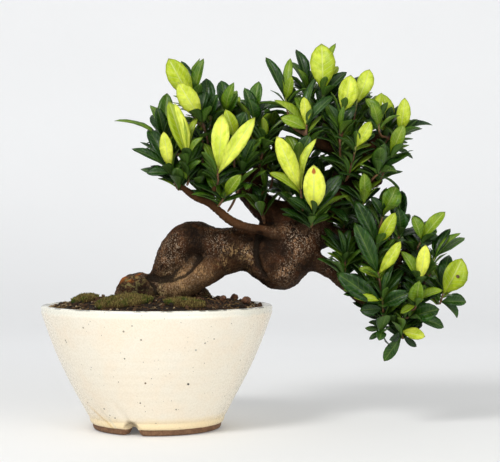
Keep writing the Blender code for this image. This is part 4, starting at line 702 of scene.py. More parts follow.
def make_bark():
    made, tree, shader, where = new_material("weathered_bark")
    x, y, z = put(tree, "ShaderNodeSeparateXYZ", {0: where}).outputs
    hollow_shade = attribute_of(tree, "hollow_shade")
    kept_up = attribute_of(tree, "facing_up")
    broad = mottle(tree, where, 0.07, 4.0, 0.5, 0.12)
    bark = mixed(tree, broad, colour(0.008, 0.0032, 0.0012), colour(0.026, 0.0105, 0.0038))
    warm = mottle(tree, where, 0.13, 4.0, 0.55, 0.08)
    bark = over(tree, bark, warm, 0.6, (0.060, 0.019, 0.006))
    drawn = vector_of(tree, "MULTIPLY", where, (1.6, 1.2, 0.65))
    fine = mottle(tree, drawn, 0.7, 6.0, 0.50, 0.05)
    islands = mottle(tree, where, 0.15, 7.0, 0.52, 0.035)
    flecks = times(tree, fine, plus(tree, 0.18, times(tree, islands, 0.82)))
    where_flecked = mottle(tree, where, 0.05, 3.0, 0.49, 0.10)
    thick = ramp_between(tree, x, 112.0, 96.0)
    low = ramp_between(tree, z, 140.0, 126.0)
    shift = noise_of(tree, where, 0.12, 4.0)
    painted_shade_patches = places(tree, where, DARK_PLACES, shift)
    pale_side = places(tree, where, PALE_PLACES, shift)
    flecked = times(tree, flecks, times(tree, thick, low))
    shown = plus(tree, 0.03, times(tree, where_flecked, 0.32))
    shown = plus(tree, shown, times(tree, pale_side, 0.62))
    shown = times(tree, shown, minus(tree, 1.0, times(tree, painted_shade_patches, 0.85)))
    flecked = times(tree, flecked, shown)
    bark = over(tree, bark, flecked, 1.0, (0.27, 0.145, 0.072))
    pale = mottle(tree, where, 1.1, 5.0, 0.57, 0.03)
    pale = times(tree, pale, times(tree, shown, low))
    bark = over(tree, bark, pale, 0.75, (0.50, 0.38, 0.27))
    tan = times(tree, patch(tree, where, (52, -12, 106), 17), flecks)
    bark = over(tree, bark, tan, 0.7, (0.36, 0.23, 0.10))
    base = times(tree, patch(tree, where, (11, -13, 87), 19), flecks)
    bark = over(tree, bark, base, 0.8, (0.40, 0.31, 0.15))
    limb = times(tree, patch(tree, where, (22, -18, 92), 24), plus(tree, 0.4, flecks))
    bark = over(tree, bark, limb, 0.62, (0.36, 0.21, 0.095))
    rust = times(tree, patch(tree, where, (-17, -8, 99), 12), warm)
    bark = mixed(tree, rust, bark, colour(0.30, 0.085, 0.012))
    lichen = mottle(tree, where, 0.35, 5.0, 0.54, 0.05)
    ring = times(tree, patch(tree, where, (-14, -12, 91), 11), lichen)
    bark = over(tree, bark, ring, 0.8, (0.22, 0.19, 0.07))
    algae = times(tree, ramp_between(tree, z, 92.0, 82.0), lichen)
    bark = over(tree, bark, algae, 0.7, (0.05, 0.05, 0.01))
    twig = times(tree, patch(tree, where, (36, -22, 140), 34), ramp_between(tree, y, -12, -17))
    bark = over(tree, bark, twig, 0.70, (0.075, 0.030, 0.010))
    # Painted shade, with some dark wet bark: the listed dark patches.
    bark = over(tree, bark, painted_shade_patches, 0.60, (0.006, 0.0028, 0.0012))
    # Painted shade: the deeper a hollow or fold, the darker the bark.
    dark = ramp_between(tree, hollow_shade, 0.10, 0.55)
    bark = over(tree, bark, dark, 0.85, (0.012, 0.008, 0.005))
    # Painted shade: the undersides of the lower wood are darkened.
    under = times(tree, ramp_between(tree, kept_up, 0.1, -0.7), low)
    bark = over(tree, bark, under, 0.55, (0.018, 0.010, 0.006))
    proud = ramp_between(tree, hollow_shade, -0.08, -0.35)
    bark = over(tree, bark, proud, 0.18, (0.10, 0.050, 0.022))
    tree.links.new(bark, shader.inputs["Base Color"])
    rough = plus(tree, 0.55, times(tree, flecks, 0.25))
    tree.links.new(rough, shader.inputs["Roughness"])
    shader.inputs["Specular IOR Level"].default_value = 0.06
    height = grain(tree, where, 1.1, 0.8)
    bump(tree, shader, height, 0.7, 0.6)
    return made


BARK = make_bark()
wood = piece_from("trunk_and_branches_bark", make_wood(), BARK, "bark", "trunk_and_branches")
print("wood", len(wood.data.polygons), "faces")

# %% [markdown]
# ## Reading the shoots
# Each shoot of the frame is one closed body: a four-sided stem, and leaf blades that each replace
# one side of it. A blade ends in a point with four faces round it, and below the point lies a thin
# rectangle, the blade's widest part. Walking down from there gives the leaf's foot. Read that way,
# the leaves need no list of their own, and when a shoot changes in the frame its leaves follow.

# %% Find the leaves
BLADE_THICKNESS = 0.0007


def rectangle_at(corners):
    """The middle, the thickness direction and the width of a thin rectangle, or None."""
    sides = [corners[(k + 1) % 4].co - corners[k].co for k in range(4)]
    thin = [abs(side.length - BLADE_THICKNESS) < 0.00004 for side in sides]
    if thin not in ([True, False, True, False], [False, True, False, True]):
        return None
    first = 0 if thin[0] else 1
    middle = sum((v.co for v in corners), Vector()) / 4
    facing = (sides[first] - sides[(first + 2) % 4]).normalized()
    width = (sides[(first + 1) % 4].length + sides[(first + 3) % 4].length) / 2
    return middle, facing, width


def loop_round(vertices):
    """Four vertices in order round their loop of edges, the first by place, or None."""
    left = set(vertices)
    run = [min(left, key=lambda vertex: tuple(vertex.co))]
    left.remove(run[0])
    while left:
        after = next((e.other_vert(run[-1]) for e in run[-1].link_edges
                      if e.other_vert(run[-1]) in left), None)
        if after is None:
            return None
        left.remove(after)
        run.append(after)
    return run


def link_of(apex):
    """The four corners round a blade's tip, in order, or None."""
    found = [edge.other_vert(apex) for edge in apex.link_edges]
    return loop_round(found) if len(found) == 4 else None


def read_shoot(node):
    """Takes the blades off a copy of the shoot: gives the bare stem and a list of its leaves."""
    bm = welded_copy(node)
    leaves = []
    gone = {}   # in the order found, because a set's order changes from run to run
    feet = []
    for apex in list(bm.verts):
        if len(apex.link_faces) != 4:
            continue
        chest = link_of(apex)
        widest = rectangle_at(chest) if chest else None
        if widest is None:
            continue
        below = {e.other_vert(v) for v in chest for e in v.link_edges} - set(chest) - {apex}
        rings = [chest]
        foot = loop_round(below) if len(below) == 4 else None
        if foot is None:
            continue
        second = rectangle_at(foot)
        if second:
            rings.append(foot)
            below = {e.other_vert(v) for v in foot for e in v.link_edges} - set(foot) - set(chest)
            foot = loop_round(below)
        base = sum((v.co for v in foot), Vector()) / 4
        tip = apex.co.copy()
        share = 0.70 if second else 0.55
        off = widest[0] - base.lerp(tip, share)
        facing = widest[1] if off.dot(widest[1]) > 0 else -widest[1]
        leaves.append({"base": base, "tip": tip, "facing": facing, "width": widest[2] / 0.98,
                       "bow": off.length / (tip - base).length / (4 * share * (1 - share)),
                       "chosen": bool(second)})
        gone.update(dict.fromkeys([apex] + [v for ring in rings for v in ring]))
        feet.append(foot)
    bmesh.ops.delete(bm, geom=list(gone), context="VERTS")
    for foot in feet:
        bm.faces.new(foot)
    bmesh.ops.recalc_face_normals(bm, faces=bm.faces)
    return bm, leaves


shoots = {name: read_shoot(name) for name in SHOOTS}
print(sum(len(leaves) for bm, leaves in shoots.values()), "leaves,",
      sum(leaf["chosen"] for bm, leaves in shoots.values() for leaf in leaves), "of them chosen")

# %% [markdown]
# ## Ages
# A young leaf is yellow-green and soft; in a season it turns dark, hard and glossy. So the age of a
# leaf is the first thing that one sees, and the leaves that stand out at the front have theirs
# listed. The others are old, except near the top of a shoot, where new growth comes.

# %% How young each leaf is
# The tips of the young leaves at the front: x from the pot's axis, height, and youth from 0 to 1.
YOUNG = ((-27, 199, 0.45), (-3, 210, 0.45), (6, 190, 0.95), (7, 216, 0.35), (8, 238, 0.82),
         (9, 210, 0.75), (14, 208, 0.95), (15, 221, 0.92), (27, 200, 0.70), (28, 240, 0.45),
         (29, 172, 0.40), (30, 187, 0.55), (31, 238, 0.42), (43, 201, 0.97), (45, 204, 0.80),
         (49, 215, 0.60), (49, 221, 0.45), (52, 215, 0.35), (55, 163, 0.60), (63, 198, 0.95),
         (66, 224, 0.35), (67, 178, 0.35), (73, 165, 0.70), (75, 210, 0.65), (77, 187, 0.93),
         (80, 199, 0.60), (84, 189, 0.55), (86, 239, 0.55), (87, 226, 0.60), (92, 231, 0.45),
         (94, 212, 0.90), (100, 169, 1.00), (100, 186, 0.90), (106, 247, 0.84), (114, 249, 0.55),
         (117, 234, 0.75), (119, 206, 0.40), (122, 151, 0.50), (124, 226, 0.90), (126, 86, 0.75),
         (129, 104, 0.60), (132, 164, 0.50), (134, 212, 0.50), (136, 196, 0.85), (137, 208, 0.50),
         (137, 231, 0.87), (144, 165, 0.50), (144, 216, 0.80), (145, 206, 0.55), (152, 139, 0.80),
         (154, 156, 0.45), (154, 165, 0.40), (155, 76, 0.60), (155, 121, 0.85), (157, 115, 0.55),
         (158, 195, 0.55), (159, 212, 0.85), (165, 137, 0.50), (166, 96, 0.50), (171, 119, 0.97),
         (172, 60, 0.85), (181, 91, 0.60), (185, 140, 0.60), (194, 127, 0.45), (195, 110, 0.75),
         (199, 102, 0.40),)
# Blemishes: the tip of the leaf, how far along and across the blade, and the size of the brown
# spot.
BLEMISHES = ((100, 169, 0.87, 0.0, 0.085), (195, 110, 0.56, 0.30, 0.055))
chance = random.Random(23)


def youth_of(leaf):
    tip = (leaf["tip"] - AXIS) / MM
    if leaf["chosen"]:
        near = min(YOUNG, key=lambda row: math.hypot(tip.x - row[0], tip.z - row[1]))
        if math.hypot(tip.x - near[0], tip.z - near[1]) < 2.5:
            return near[2]
        return chance.uniform(0.08, 0.22)
    upward = (leaf["tip"] - leaf["base"]).normalized().z
    behind = 1.0 if tip.y > 8 else 0.0
    return min(0.8, max(0.0, chance.gauss(0.15 + 0.18 * upward + 0.10 * behind, 0.15)))


def blemish_of(leaf):
    tip = (leaf["tip"] - AXIS) / MM
    for x, z, along, across, size in BLEMISHES:
        if leaf["chosen"] and math.hypot(tip.x - x, tip.z - z) < 2.5:
            return Vector((along, across, size))
    return Vector((-1, 0, 0.001))


# %% [markdown]
# ## One leaf
# The leaf is widest beyond its middle, narrows to its stalk and ends in a point. One flat pattern
# of about a hundred triangles is enough: it is placed hundreds of times, and stretched, arched and
# folded differently each time. Top and underside meet at the edge and are split along the same
# diagonals, so that neither comes through the other when the leaf bends. The pattern keeps how far
# each point lies along and across the blade, because the veins follow that.

# %% The leaf pattern
def leaf_half_width(share):
    body = share ** 1.15 * (1.0001 - share) ** 0.80 / 0.3606
    return 0.5 * max(body, 0.075 * (1 - share) ** 0.5)


def make_leaf_pattern():
    stations = (0.0, 0.12, 0.27, 0.44, 0.61, 0.78, 0.91, 1.0)
    across = (-1.0, -0.5, 0.0, 0.5, 1.0)
    bm = bmesh.new()
    along_layer = bm.verts.layers.float.new("leaf_along")
    across_layer = bm.verts.layers.float.new("leaf_across")
    side_layer = bm.verts.layers.float.new("leaf_side")
    sheets = {}
    for side in (1, -1):
        for i, s in enumerate(stations[:-1]):
            for k, t in enumerate(across):
                if side == -1 and abs(t) == 1.0:
                    sheets[side, i, k] = sheets[1, i, k]
                    continue
                thick = 0.00030 * (1 - t * t) * (1.6 - s)
                vertex = bm.verts.new((leaf_half_width(s) * t, s, side * thick))
                vertex[along_layer] = s
                vertex[across_layer] = t
                vertex[side_layer] = 0.0 if abs(t) == 1.0 else float(side)
                sheets[side, i, k] = vertex
    tip = bm.verts.new((0, 1, 0))
    tip[along_layer] = 1.0
    for side in (1, -1):
        for k in range(4):
            for i in range(len(stations) - 2):
                ring = [sheets[side, i, k], sheets[side, i, k + 1], sheets[side, i + 1, k + 1],
                        sheets[side, i + 1, k]]
                ring = ring if k < 2 else ring[1:] + ring[:1]
                for half in ([ring[0], ring[1], ring[2]], [ring[0], ring[2], ring[3]]):
                    bm.faces.new(half if side == 1 else half[::-1])
            last = len(stations) - 2
            ring = [sheets[side, last, k], sheets[side, last, k + 1], tip]
            bm.faces.new(ring if side == 1 else ring[::-1])
    foot = [sheets[1, 0, k] for k in range(5)] + [sheets[-1, 0, k] for k in (3, 2, 1)]
    bm.faces.new(foot[::-1])
    pattern = object_of("leaf_pattern", bm)
    pattern.data.shade_smooth()
    return pattern


leaf_pattern = make_leaf_pattern()
print("leaf pattern", len(leaf_pattern.data.polygons), "faces")

# %% [markdown]
# A leaf's colour runs from near-black green to lemon green with its youth. The midrib and the side
# veins are paler, sharper on a young leaf, and the underside is paler and duller. An old blade is
# waxy, so it is glossy with a slight unevenness that breaks the highlights up.

# %% Leaf finish
def make_leaf_finish():
    made, tree, shader, where = new_material("waxy_leaf")

    def kept(name):
        return put(tree, "ShaderNodeAttribute", attribute_name=name).outputs

    along = kept("leaf_along")["Fac"]
    signed = kept("leaf_across")["Fac"]
    across = math_of(tree, "ABSOLUTE", signed)
    youth = kept("youth")["Fac"]
    tone = kept("tone")["Fac"]
    under = ramp_between(tree, kept("leaf_side")["Fac"], -0.1, -0.6)
    cloud = mottle(tree, where, 0.16, 4.0, 0.5, 0.2)
    shift = times(tree, minus(tree, cloud, 0.5), 0.14)
    edge_green = times(tree, minus(tree, across, 0.4), -0.05)
    shade = plus(tree, plus(tree, youth, shift), edge_green)
    ramp = put(tree, "ShaderNodeValToRGB", {0: shade})
    stops = ((0.0, (0.004, 0.018, 0.002)), (0.18, (0.011, 0.045, 0.003)),
             (0.38, (0.048, 0.125, 0.004)), (0.60, (0.17, 0.27, 0.005)),
             (0.82, (0.35, 0.45, 0.012)), (1.0, (0.74, 0.83, 0.10)))
    elements = ramp.color_ramp.elements
    for position, tint in stops[1:-1]:
        elements.new(position).color = colour(*tint)
    elements[0].color = colour(*stops[0][1])
    elements[-1].color = colour(*stops[-1][1])
    blade = ramp.outputs[0]
    hue = times(tree, tone, 0.35)
    blade = mixed(tree, hue, blade, mixed(tree, 1.0, blade, colour(1.0, 0.82, 0.55), "MULTIPLY"))
    midrib = ramp_between(tree, across, 0.10, 0.03)
    slope = minus(tree, times(tree, along, 8.5), times(tree, across, 1.5))
    line = math_of(tree, "ABSOLUTE", minus(tree, math_of(tree, "FRACT", slope), 0.5))
    side_vein = times(tree, ramp_between(tree, line, 0.11, 0.02), ramp_between(tree, across, 1.0,
                                                                               0.7))
    vein = math_of(tree, "MAXIMUM", midrib, times(tree, side_vein, 0.55))
    pale = mixed(tree, youth, colour(0.07, 0.15, 0.02), colour(0.62, 0.68, 0.20))
    strength = plus(tree, 0.30, times(tree, youth, 0.50))
    blade = mixed(tree, times(tree, vein, strength), blade, pale)
    freckles = effect(tree, SPECKS, "Mask", Vector=where, Spacing=3.2, Radius=0.32, Share=0.16)
    blade = over(tree, blade, freckles, 0.5, (0.10, 0.07, 0.02))
    tip_burn = times(tree, ramp_between(tree, along, 0.955, 1.0), ramp_between(tree, tone, 0.5,
                                                                               0.8))
    blade = over(tree, blade, tip_burn, 0.7, (0.16, 0.07, 0.02))
    spot = put(tree, "ShaderNodeSeparateXYZ", {0: kept("blemish")["Vector"]}).outputs
    here = put(tree, "ShaderNodeCombineXYZ", {0: along, 1: times(tree, signed, 0.28)}).outputs[0]
    there = put(tree, "ShaderNodeCombineXYZ", {0: spot[0], 1: times(tree, spot[1],
                                                                    0.28)}).outputs[0]
    apart = put(tree, "ShaderNodeVectorMath", {0: here, 1: there},
                operation="DISTANCE").outputs["Value"]
    brown = ramp_between(tree, apart, spot[2], times(tree, spot[2], 0.5))
    scorched = mixed(tree, ramp_between(tree, spot[2], 0.06, 0.08), colour(0.07, 0.028, 0.006),
                     colour(0.36, 0.10, 0.012))
    blade = mixed(tree, brown, blade, scorched)
    blade = over(tree, blade, under, 0.45, (0.085, 0.16, 0.025))
    tree.links.new(blade, shader.inputs["Base Color"])
    rough = plus(tree, 0.24, times(tree, cloud, 0.12))
    rough = plus(tree, rough, times(tree, youth, 0.14))
    rough = plus(tree, rough, times(tree, under, 0.25))
    tree.links.new(rough, shader.inputs["Roughness"])
    shader.inputs["Specular IOR Level"].default_value = 0.30
    shader.inputs["Subsurface Weight"].default_value = 0.10
    shader.inputs["Subsurface Radius"].default_value = (0.0008, 0.0014, 0.0003)
    shader.inputs["Subsurface Scale"].default_value = 1.0
    fine = times(tree, grain(tree, where, 0.8, 0.3), 0.35)
    height = minus(tree, fine, times(tree, vein, 0.8))
    bump(tree, shader, height, 0.55, 0.5)
    return made


def make_twig_finish():
    """Young wood: green near the bud, then brown and ringed."""
    made, tree, shader, where = new_material("young_twig")
    up = attribute_of(tree, "up_stem")
    patchy = mottle(tree, where, 0.5, 4.0, 0.5, 0.15)
    brown = mixed(tree, patchy, colour(0.075, 0.035, 0.015), colour(0.19, 0.085, 0.03))
    green = mixed(tree, patchy, colour(0.13, 0.17, 0.03), colour(0.22, 0.24, 0.05))
    level = plus(tree, up, times(tree, patchy, 0.2))
    tree.links.new(mixed(tree, ramp_between(tree, level, 0.75, 1.0), brown, green),
                   shader.inputs["Base Color"])
    tree.links.new(plus(tree, 0.5, times(tree, patchy, 0.2)), shader.inputs["Roughness"])
    bump(tree, shader, grain(tree, where, 1.6, 0.8), 0.5, 0.3)
    return made


LEAF_FINISH = make_leaf_finish()
TWIG_FINISH = make_twig_finish()
print("finishes", LEAF_FINISH.name, TWIG_FINISH.name)

# %% [markdown]
# ## Leaves on shoots
# Geometry Nodes place the pattern on every leaf's foot, turned so that it runs along the leaf and
# faces the way it faces, and as wide and long as it is. Once the leaves are real meshes each point
# is pushed along the leaf's facing: an arch from foot to tip, a fold about the midrib, and a
# ripple.

# %% The tree that leafs a shoot
def new_geometry_tree(name, inputs):
    tree = bpy.data.node_groups.new(name, "GeometryNodeTree")
    tree.interface.new_socket("Geometry", in_out="INPUT", socket_type="NodeSocketGeometry")
    for label, kind, default in inputs:
        socket = tree.interface.new_socket(label, in_out="INPUT", socket_type="NodeSocket" + kind)
        if default is not None:
            socket.default_value = default
    tree.interface.new_socket("Geometry", in_out="OUTPUT", socket_type="NodeSocketGeometry")
    return tree, tree.nodes.new("NodeGroupInput").outputs, tree.nodes.new("NodeGroupOutput").inputs


def inputs_of(tree):
    """What a modifier calls each named input of its tree."""
    return {item.name: item.identifier for item in tree.interface.items_tree
            if item.in_out == "INPUT"}


def stored(tree, name, kind="FLOAT"):
    return put(tree, "GeometryNodeInputNamedAttribute", {"Name": name},
               data_type=kind).outputs["Attribute"]


def make_leafing():
    tree, given, result = new_geometry_tree("Leaves on a shoot", [("Pattern", "Object", None),
                                                                  ("Fold", "Float", 0.16),
                                                                  ("Ripple", "Float", 0.02),
                                                                  ("Curl", "Float", 0.15),
                                                                  ("Leaf finish", "Material", None),
                                                                  ("Twig finish", "Material",
                                                                   None)])
    parts = put(tree, "GeometryNodeSeparateGeometry", {0: given["Geometry"], 1: stored(tree,
                                                                                       "leaf_foot",
                                                                                       "BOOLEAN")},
                domain="POINT").outputs
    along = stored(tree, "along", "FLOAT_VECTOR")
    facing = stored(tree, "facing", "FLOAT_VECTOR")
    width = stored(tree, "width")
    length = vector_of(tree, "LENGTH", along)
    turn = put(tree, "FunctionNodeAxesToRotation", {0: along, 1: facing}, primary_axis="Y",
               secondary_axis="Z").outputs[0]
    stretch = put(tree, "ShaderNodeCombineXYZ", {0: width, 1: length, 2: 1.0}).outputs[0]
    pattern = put(tree, "GeometryNodeObjectInfo", {"Object": given["Pattern"]}).outputs["Geometry"]
    placed = put(tree, "GeometryNodeInstanceOnPoints", {"Points": parts["Selection"],
                                                        "Instance": pattern, "Rotation": turn,
                                                        "Scale": stretch}).outputs[0]
    blades = put(tree, "GeometryNodeRealizeInstances", {0: placed}).outputs[0]

    s = stored(tree, "leaf_along")
    t = stored(tree, "leaf_across")
    tone = stored(tree, "tone")
    arch = times(tree, times(tree, s, minus(tree, 1.0, s)), 4.0)
    arch = times(tree, times(tree, arch, stored(tree, "bow")), length)
    fold = times(tree, math_of(tree, "POWER", math_of(tree, "ABSOLUTE", t), 1.3), given["Fold"])
    fold = times(tree, fold, stored(tree, "fold"))
    fold = times(tree, fold, times(tree, width, arch_share(tree, s)))
    phase = plus(tree, times(tree, s, 11.0), times(tree, tone, 40.0))
    ripple = times(tree, math_of(tree, "SINE", plus(tree, phase, t)), given["Ripple"])
    ripple = times(tree, ripple, times(tree, length, math_of(tree, "ABSOLUTE", t)))
    curl = times(tree, math_of(tree, "POWER", s, 3.0), minus(tree, 0.75, tone))
    curl = times(tree, times(tree, curl, given["Curl"]), length)
    push = plus(tree, minus(tree, arch, curl), plus(tree, fold, ripple))
    offset = vector_of(tree, "SCALE", facing, push)
    bent = put(tree, "GeometryNodeSetPosition", {"Geometry": blades, "Offset": offset}).outputs[0]
    leaves = put(tree, "GeometryNodeSetMaterial", {"Geometry": bent,
                                                   "Material": given["Leaf finish"]}).outputs[0]
    twigs = put(tree, "GeometryNodeSetMaterial", {"Geometry": parts["Inverted"],
                                                  "Material": given["Twig finish"]})
    both = put(tree, "GeometryNodeJoinGeometry")
    tree.links.new(twigs.outputs[0], both.inputs[0])
    tree.links.new(leaves, both.inputs[0])
    tree.links.new(both.outputs[0], result["Geometry"])
    return tree


def arch_share(tree, s):
    """0 at the foot and the tip of a leaf and 1 at its middle."""
    return math_of(tree, "SINE", times(tree, s, math.pi))


LEAFING = make_leafing()
print("tree", LEAFING.name, "with", len(LEAFING.nodes), "nodes")

# %% [markdown]
# The bare stem is four-sided in the frame. Joining its triangles into quads and subdividing it
# makes it round. Small leaves fill the inside of each shoot: they sit on free places of the stem
# and point up and out, as the frame's own leaves do, and each is left out where it would cut
# through another.

# %% Stems and small inner leaves
def blade_triangles(leaf, grow=0.0):
    along = leaf["tip"] - leaf["base"]
    side = along.normalized().cross(leaf["facing"]) * (leaf["width"] / 2 + grow)
    middle = leaf["base"].lerp(leaf["tip"], 0.55) + leaf["facing"] * leaf["bow"] * along.length
    start = leaf["base"].lerp(leaf["tip"], 0.2)
    return [start, middle + side, middle - side, leaf["tip"]], [(0, 1, 2), (1, 3, 2)]


# Gaps that show daylight between the pads: x, height and radius in millimetres.
DAYLIGHT_GAPS = (
    (50, 140, 10), (30, 137, 10), (36, 157, 9), (72, 228, 7), (116, 111, 3), (10, 152, 9),
    (12, 250, 10), (58, 236, 11), (150, 228, 13), (176, 158, 17), (160, 172, 3),
)


def in_front_view_gap(tip):
    """Whether a place would close one of the gaps."""
    place = (tip - AXIS) / MM
    return any(math.hypot(place.x - x, place.z - z) < radius for x, z, radius in DAYLIGHT_GAPS)


def seen_from_front(point):
    """Where a point appears from in front, as (x, z) in millimetres at the axis, and how near."""
    away = point - EYE
    return away.x / away.y * EYE_DISTANCE, away.z / away.y * EYE_DISTANCE, away.y


CELL = 0.018
BLADES = {}


def cell_of(point):
    return tuple(int(math.floor(c / CELL)) for c in point)


def remember(leaf, grow=0.0):
    centre = cell_of(leaf["base"].lerp(leaf["tip"], 0.5))
    BLADES.setdefault(centre, []).append((leaf, BVHTree.FromPolygons(*blade_triangles(leaf, grow))))


def cuts_another(leaf, grow=0.0, chosen_only=False):
    """Whether a leaf's blade would pass through one that is already there."""
    shape = BVHTree.FromPolygons(*blade_triangles(leaf, grow))
    a, b, c = cell_of(leaf["base"].lerp(leaf["tip"], 0.5))
    for key in ((a + i, b + j, c + k) for i in (-1, 0, 1) for j in (-1, 0, 1) for k in (-1, 0, 1)):
        for other, blade in BLADES.get(key, ()):
            if other is not leaf and (other["chosen"] or not chosen_only) and shape.overlap(blade):
                return True
    return False


def set_widths():
    """Chosen leaves are widened alike, and every other leaf as far as they leave it room."""
    for _, leaves in shoots.values():
        for leaf in leaves:
            if leaf["chosen"]:
                leaf["width"] *= 1.24
                remember(leaf, 0.0006)
    for _, leaves in shoots.values():
        for leaf in leaves:
            if not leaf["chosen"]:
                narrow = leaf["width"]
                for wider in (1.30, 1.15, 1.0, 0.85, 0.70):
                    leaf["width"] = narrow * wider
                    if not cuts_another(leaf, 0.0008, chosen_only=True):
                        break
                remember(leaf)


set_widths()
FRONT_LEAVES = [(seen_from_front(leaf["base"]), seen_from_front(leaf["tip"]),
                 leaf["width"] / MM * 0.52 + 0.8)
                for _, leaves in shoots.values() for leaf in leaves if leaf["chosen"]]


def hides_a_front_leaf(leaf):
    """Whether a leaf would stand before one of the chosen leaves."""
    for share in (0.3, 0.6, 0.85, 1.0):
        x, z, near = seen_from_front(leaf["base"].lerp(leaf["tip"], share))
        for (ax, az, an), (bx, bz, bn), reach in FRONT_LEAVES:
            length = (bx - ax) ** 2 + (bz - az) ** 2
            t = ((x - ax) * (bx - ax) + (z - az) * (bz - az)) / max(length, 1e-6)
            if 0.05 < t < 1 and near < an + (bn - an) * t:
                if math.hypot(x - ax - t * (bx - ax), z - az - t * (bz - az)) < reach:
                    return True
    return False


def inner_leaves(bm, count):
    """More, smaller leaves on the free faces of a stem."""
    top = max(v.co.z for v in bm.verts)
    free = [f for f in bm.faces
            if f.calc_area() > 0.3e-6 and f.calc_center_median().z > top - 0.034]
    grown = []
    for _ in range(count * 8):
        if len(grown) >= count or not free:
            break
        face = chance.choice(free)
        base = face.calc_center_median()
        out = Vector((face.normal.x, face.normal.y, 0)) + Vector((chance.gauss(0, 0.3),
                                                                  chance.gauss(0, 0.3), 0))
        direction = (out.normalized() + Vector((0, 0, chance.uniform(0.3, 2.0)))).normalized()
        length = chance.uniform(0.012, 0.024)
        facing = (Vector((0, 0, 1)) + out * -0.3 + Vector((0, -0.5, 0)))
        facing = (facing - direction * facing.dot(direction)).normalized()
        leaf = {"base": base, "tip": base + direction * length, "facing": facing, "chosen": False,
                "width": length * chance.uniform(0.46, 0.60), "bow": chance.uniform(0.02, 0.08)}
        if in_front_view_gap(leaf["tip"]) or hides_a_front_leaf(leaf) or cuts_another(leaf):
            continue
        remember(leaf)
        grown.append(leaf)
    return grown


def round_stem(name, bm):
    """The stem as a smooth mesh."""
    bmesh.ops.join_triangles(bm, faces=bm.faces, angle_face_threshold=0.6,
                             angle_shape_threshold=3.1)
    stem = object_of(name, bm)
    modified(stem, "SUBSURF", levels=2, render_levels=2)
    return stem


def leafed(name, bm, leaves, *nodes):
    """One finished piece of foliage: stems and leaves as one mesh."""
    stem = round_stem(name, bm)
    mesh = stem.data
    count = len(mesh.vertices)
    heights = np.array([v.co.z for v in mesh.vertices])
    up_stem = (heights - heights.min()) / max(1e-6, np.ptp(heights))
    for vertex in mesh.vertices:
        vertex.co += vertex.normal * 0.00012
    mesh.vertices.add(len(leaves))
    for i, leaf in enumerate(leaves):
        mesh.vertices[count + i].co = leaf["base"]
    rest = np.zeros(count)
    blank = np.zeros((count, 3))
    set_attribute(mesh, "leaf_foot", [False] * count + [True] * len(leaves), "BOOLEAN")
    set_attribute(mesh, "up_stem", np.concatenate([up_stem, np.ones(len(leaves))]))
    for label, rows in (("along", [leaf["tip"] - leaf["base"] for leaf in leaves]),
                        ("facing", [leaf["facing"] for leaf in leaves]),
                        ("blemish", [blemish_of(leaf) for leaf in leaves])):
        rows = np.array([tuple(row) for row in rows])
        set_attribute(mesh, label, np.concatenate([blank, rows]), "FLOAT_VECTOR")
    set_attribute(mesh, "width", np.concatenate([rest, [leaf["width"] for leaf in leaves]]))
    bows = [leaf["bow"] + (0.035 if leaf["chosen"] else 0.0) for leaf in leaves]
    set_attribute(mesh, "bow", np.concatenate([rest, bows]))
    folds = [chance.uniform(0.5, 1.2) if leaf["chosen"] else chance.uniform(0.1,
                                                                            0.5) for leaf in leaves]
    set_attribute(mesh, "fold", np.concatenate([rest, folds]))
    set_attribute(mesh, "youth", np.concatenate([rest, [youth_of(leaf) for leaf in leaves]]))
    set_attribute(mesh, "tone", np.concatenate([rest, [chance.random() for leaf in leaves]]))
    grow = stem.modifiers.new("Leaves", "NODES")
    grow.node_group = LEAFING
    sockets = inputs_of(LEAFING)
    grow[sockets["Pattern"]] = leaf_pattern
    grow[sockets["Fold"]] = 0.36
    grow[sockets["Ripple"]] = 0.012
    grow[sockets["Curl"]] = 0.17
    grow[sockets["Leaf finish"]] = LEAF_FINISH
    grow[sockets["Twig finish"]] = TWIG_FINISH
    mesh = evaluated(stem)
    bpy.data.objects.remove(stem)
    piece_from(name, mesh, None, "foliage", *nodes)
    return len(leaves), len(mesh.polygons)


INNER_LEAVES = 26   # at most, on one shoot
made = []
for name in SHOOTS:
    bm, leaves = shoots[name]
    leaves = leaves + inner_leaves(bm, INNER_LEAVES)
    made.append(leafed(name + "_leaves", bm, leaves, name))
print(sum(leaves for leaves, faces in made), "leaves on", len(made), "shoots,",
      sum(faces for leaves, faces in made), "faces")

# %% [markdown]
# ## Twigs on the old wood
# Old wood buds back: short twigs with a few dark leaves spring from the limbs in the shade of the
# pads and hide where the limbs fork. They are grown here by rule, on points of the wood's surface,
# and each leaf is kept only where it cuts through no other.

# %% Short twigs in the shade
# Where they grow: least and greatest x, least and greatest height, in millimetres.
SHADED = ((55, 112, 134, 196), (55, 80, 132, 165), (114, 152, 104, 150))


def bud_points(count):
    """Places and directions on the wood, by chance from its faces in the shaded boxes."""
    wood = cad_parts["trunk_and_branches"].data
    faces = []
    for face in wood.polygons:
        place = (face.center - AXIS) / MM
        if any(a < place.x < b and c < place.z < d for a, b, c,
               d in SHADED) and face.normal.z > -0.15:
            faces.append(face)
    weights = [face.area for face in faces]
    for face in chance.choices(faces, weights, k=count):
        yield face.center.copy(), face.normal.copy()


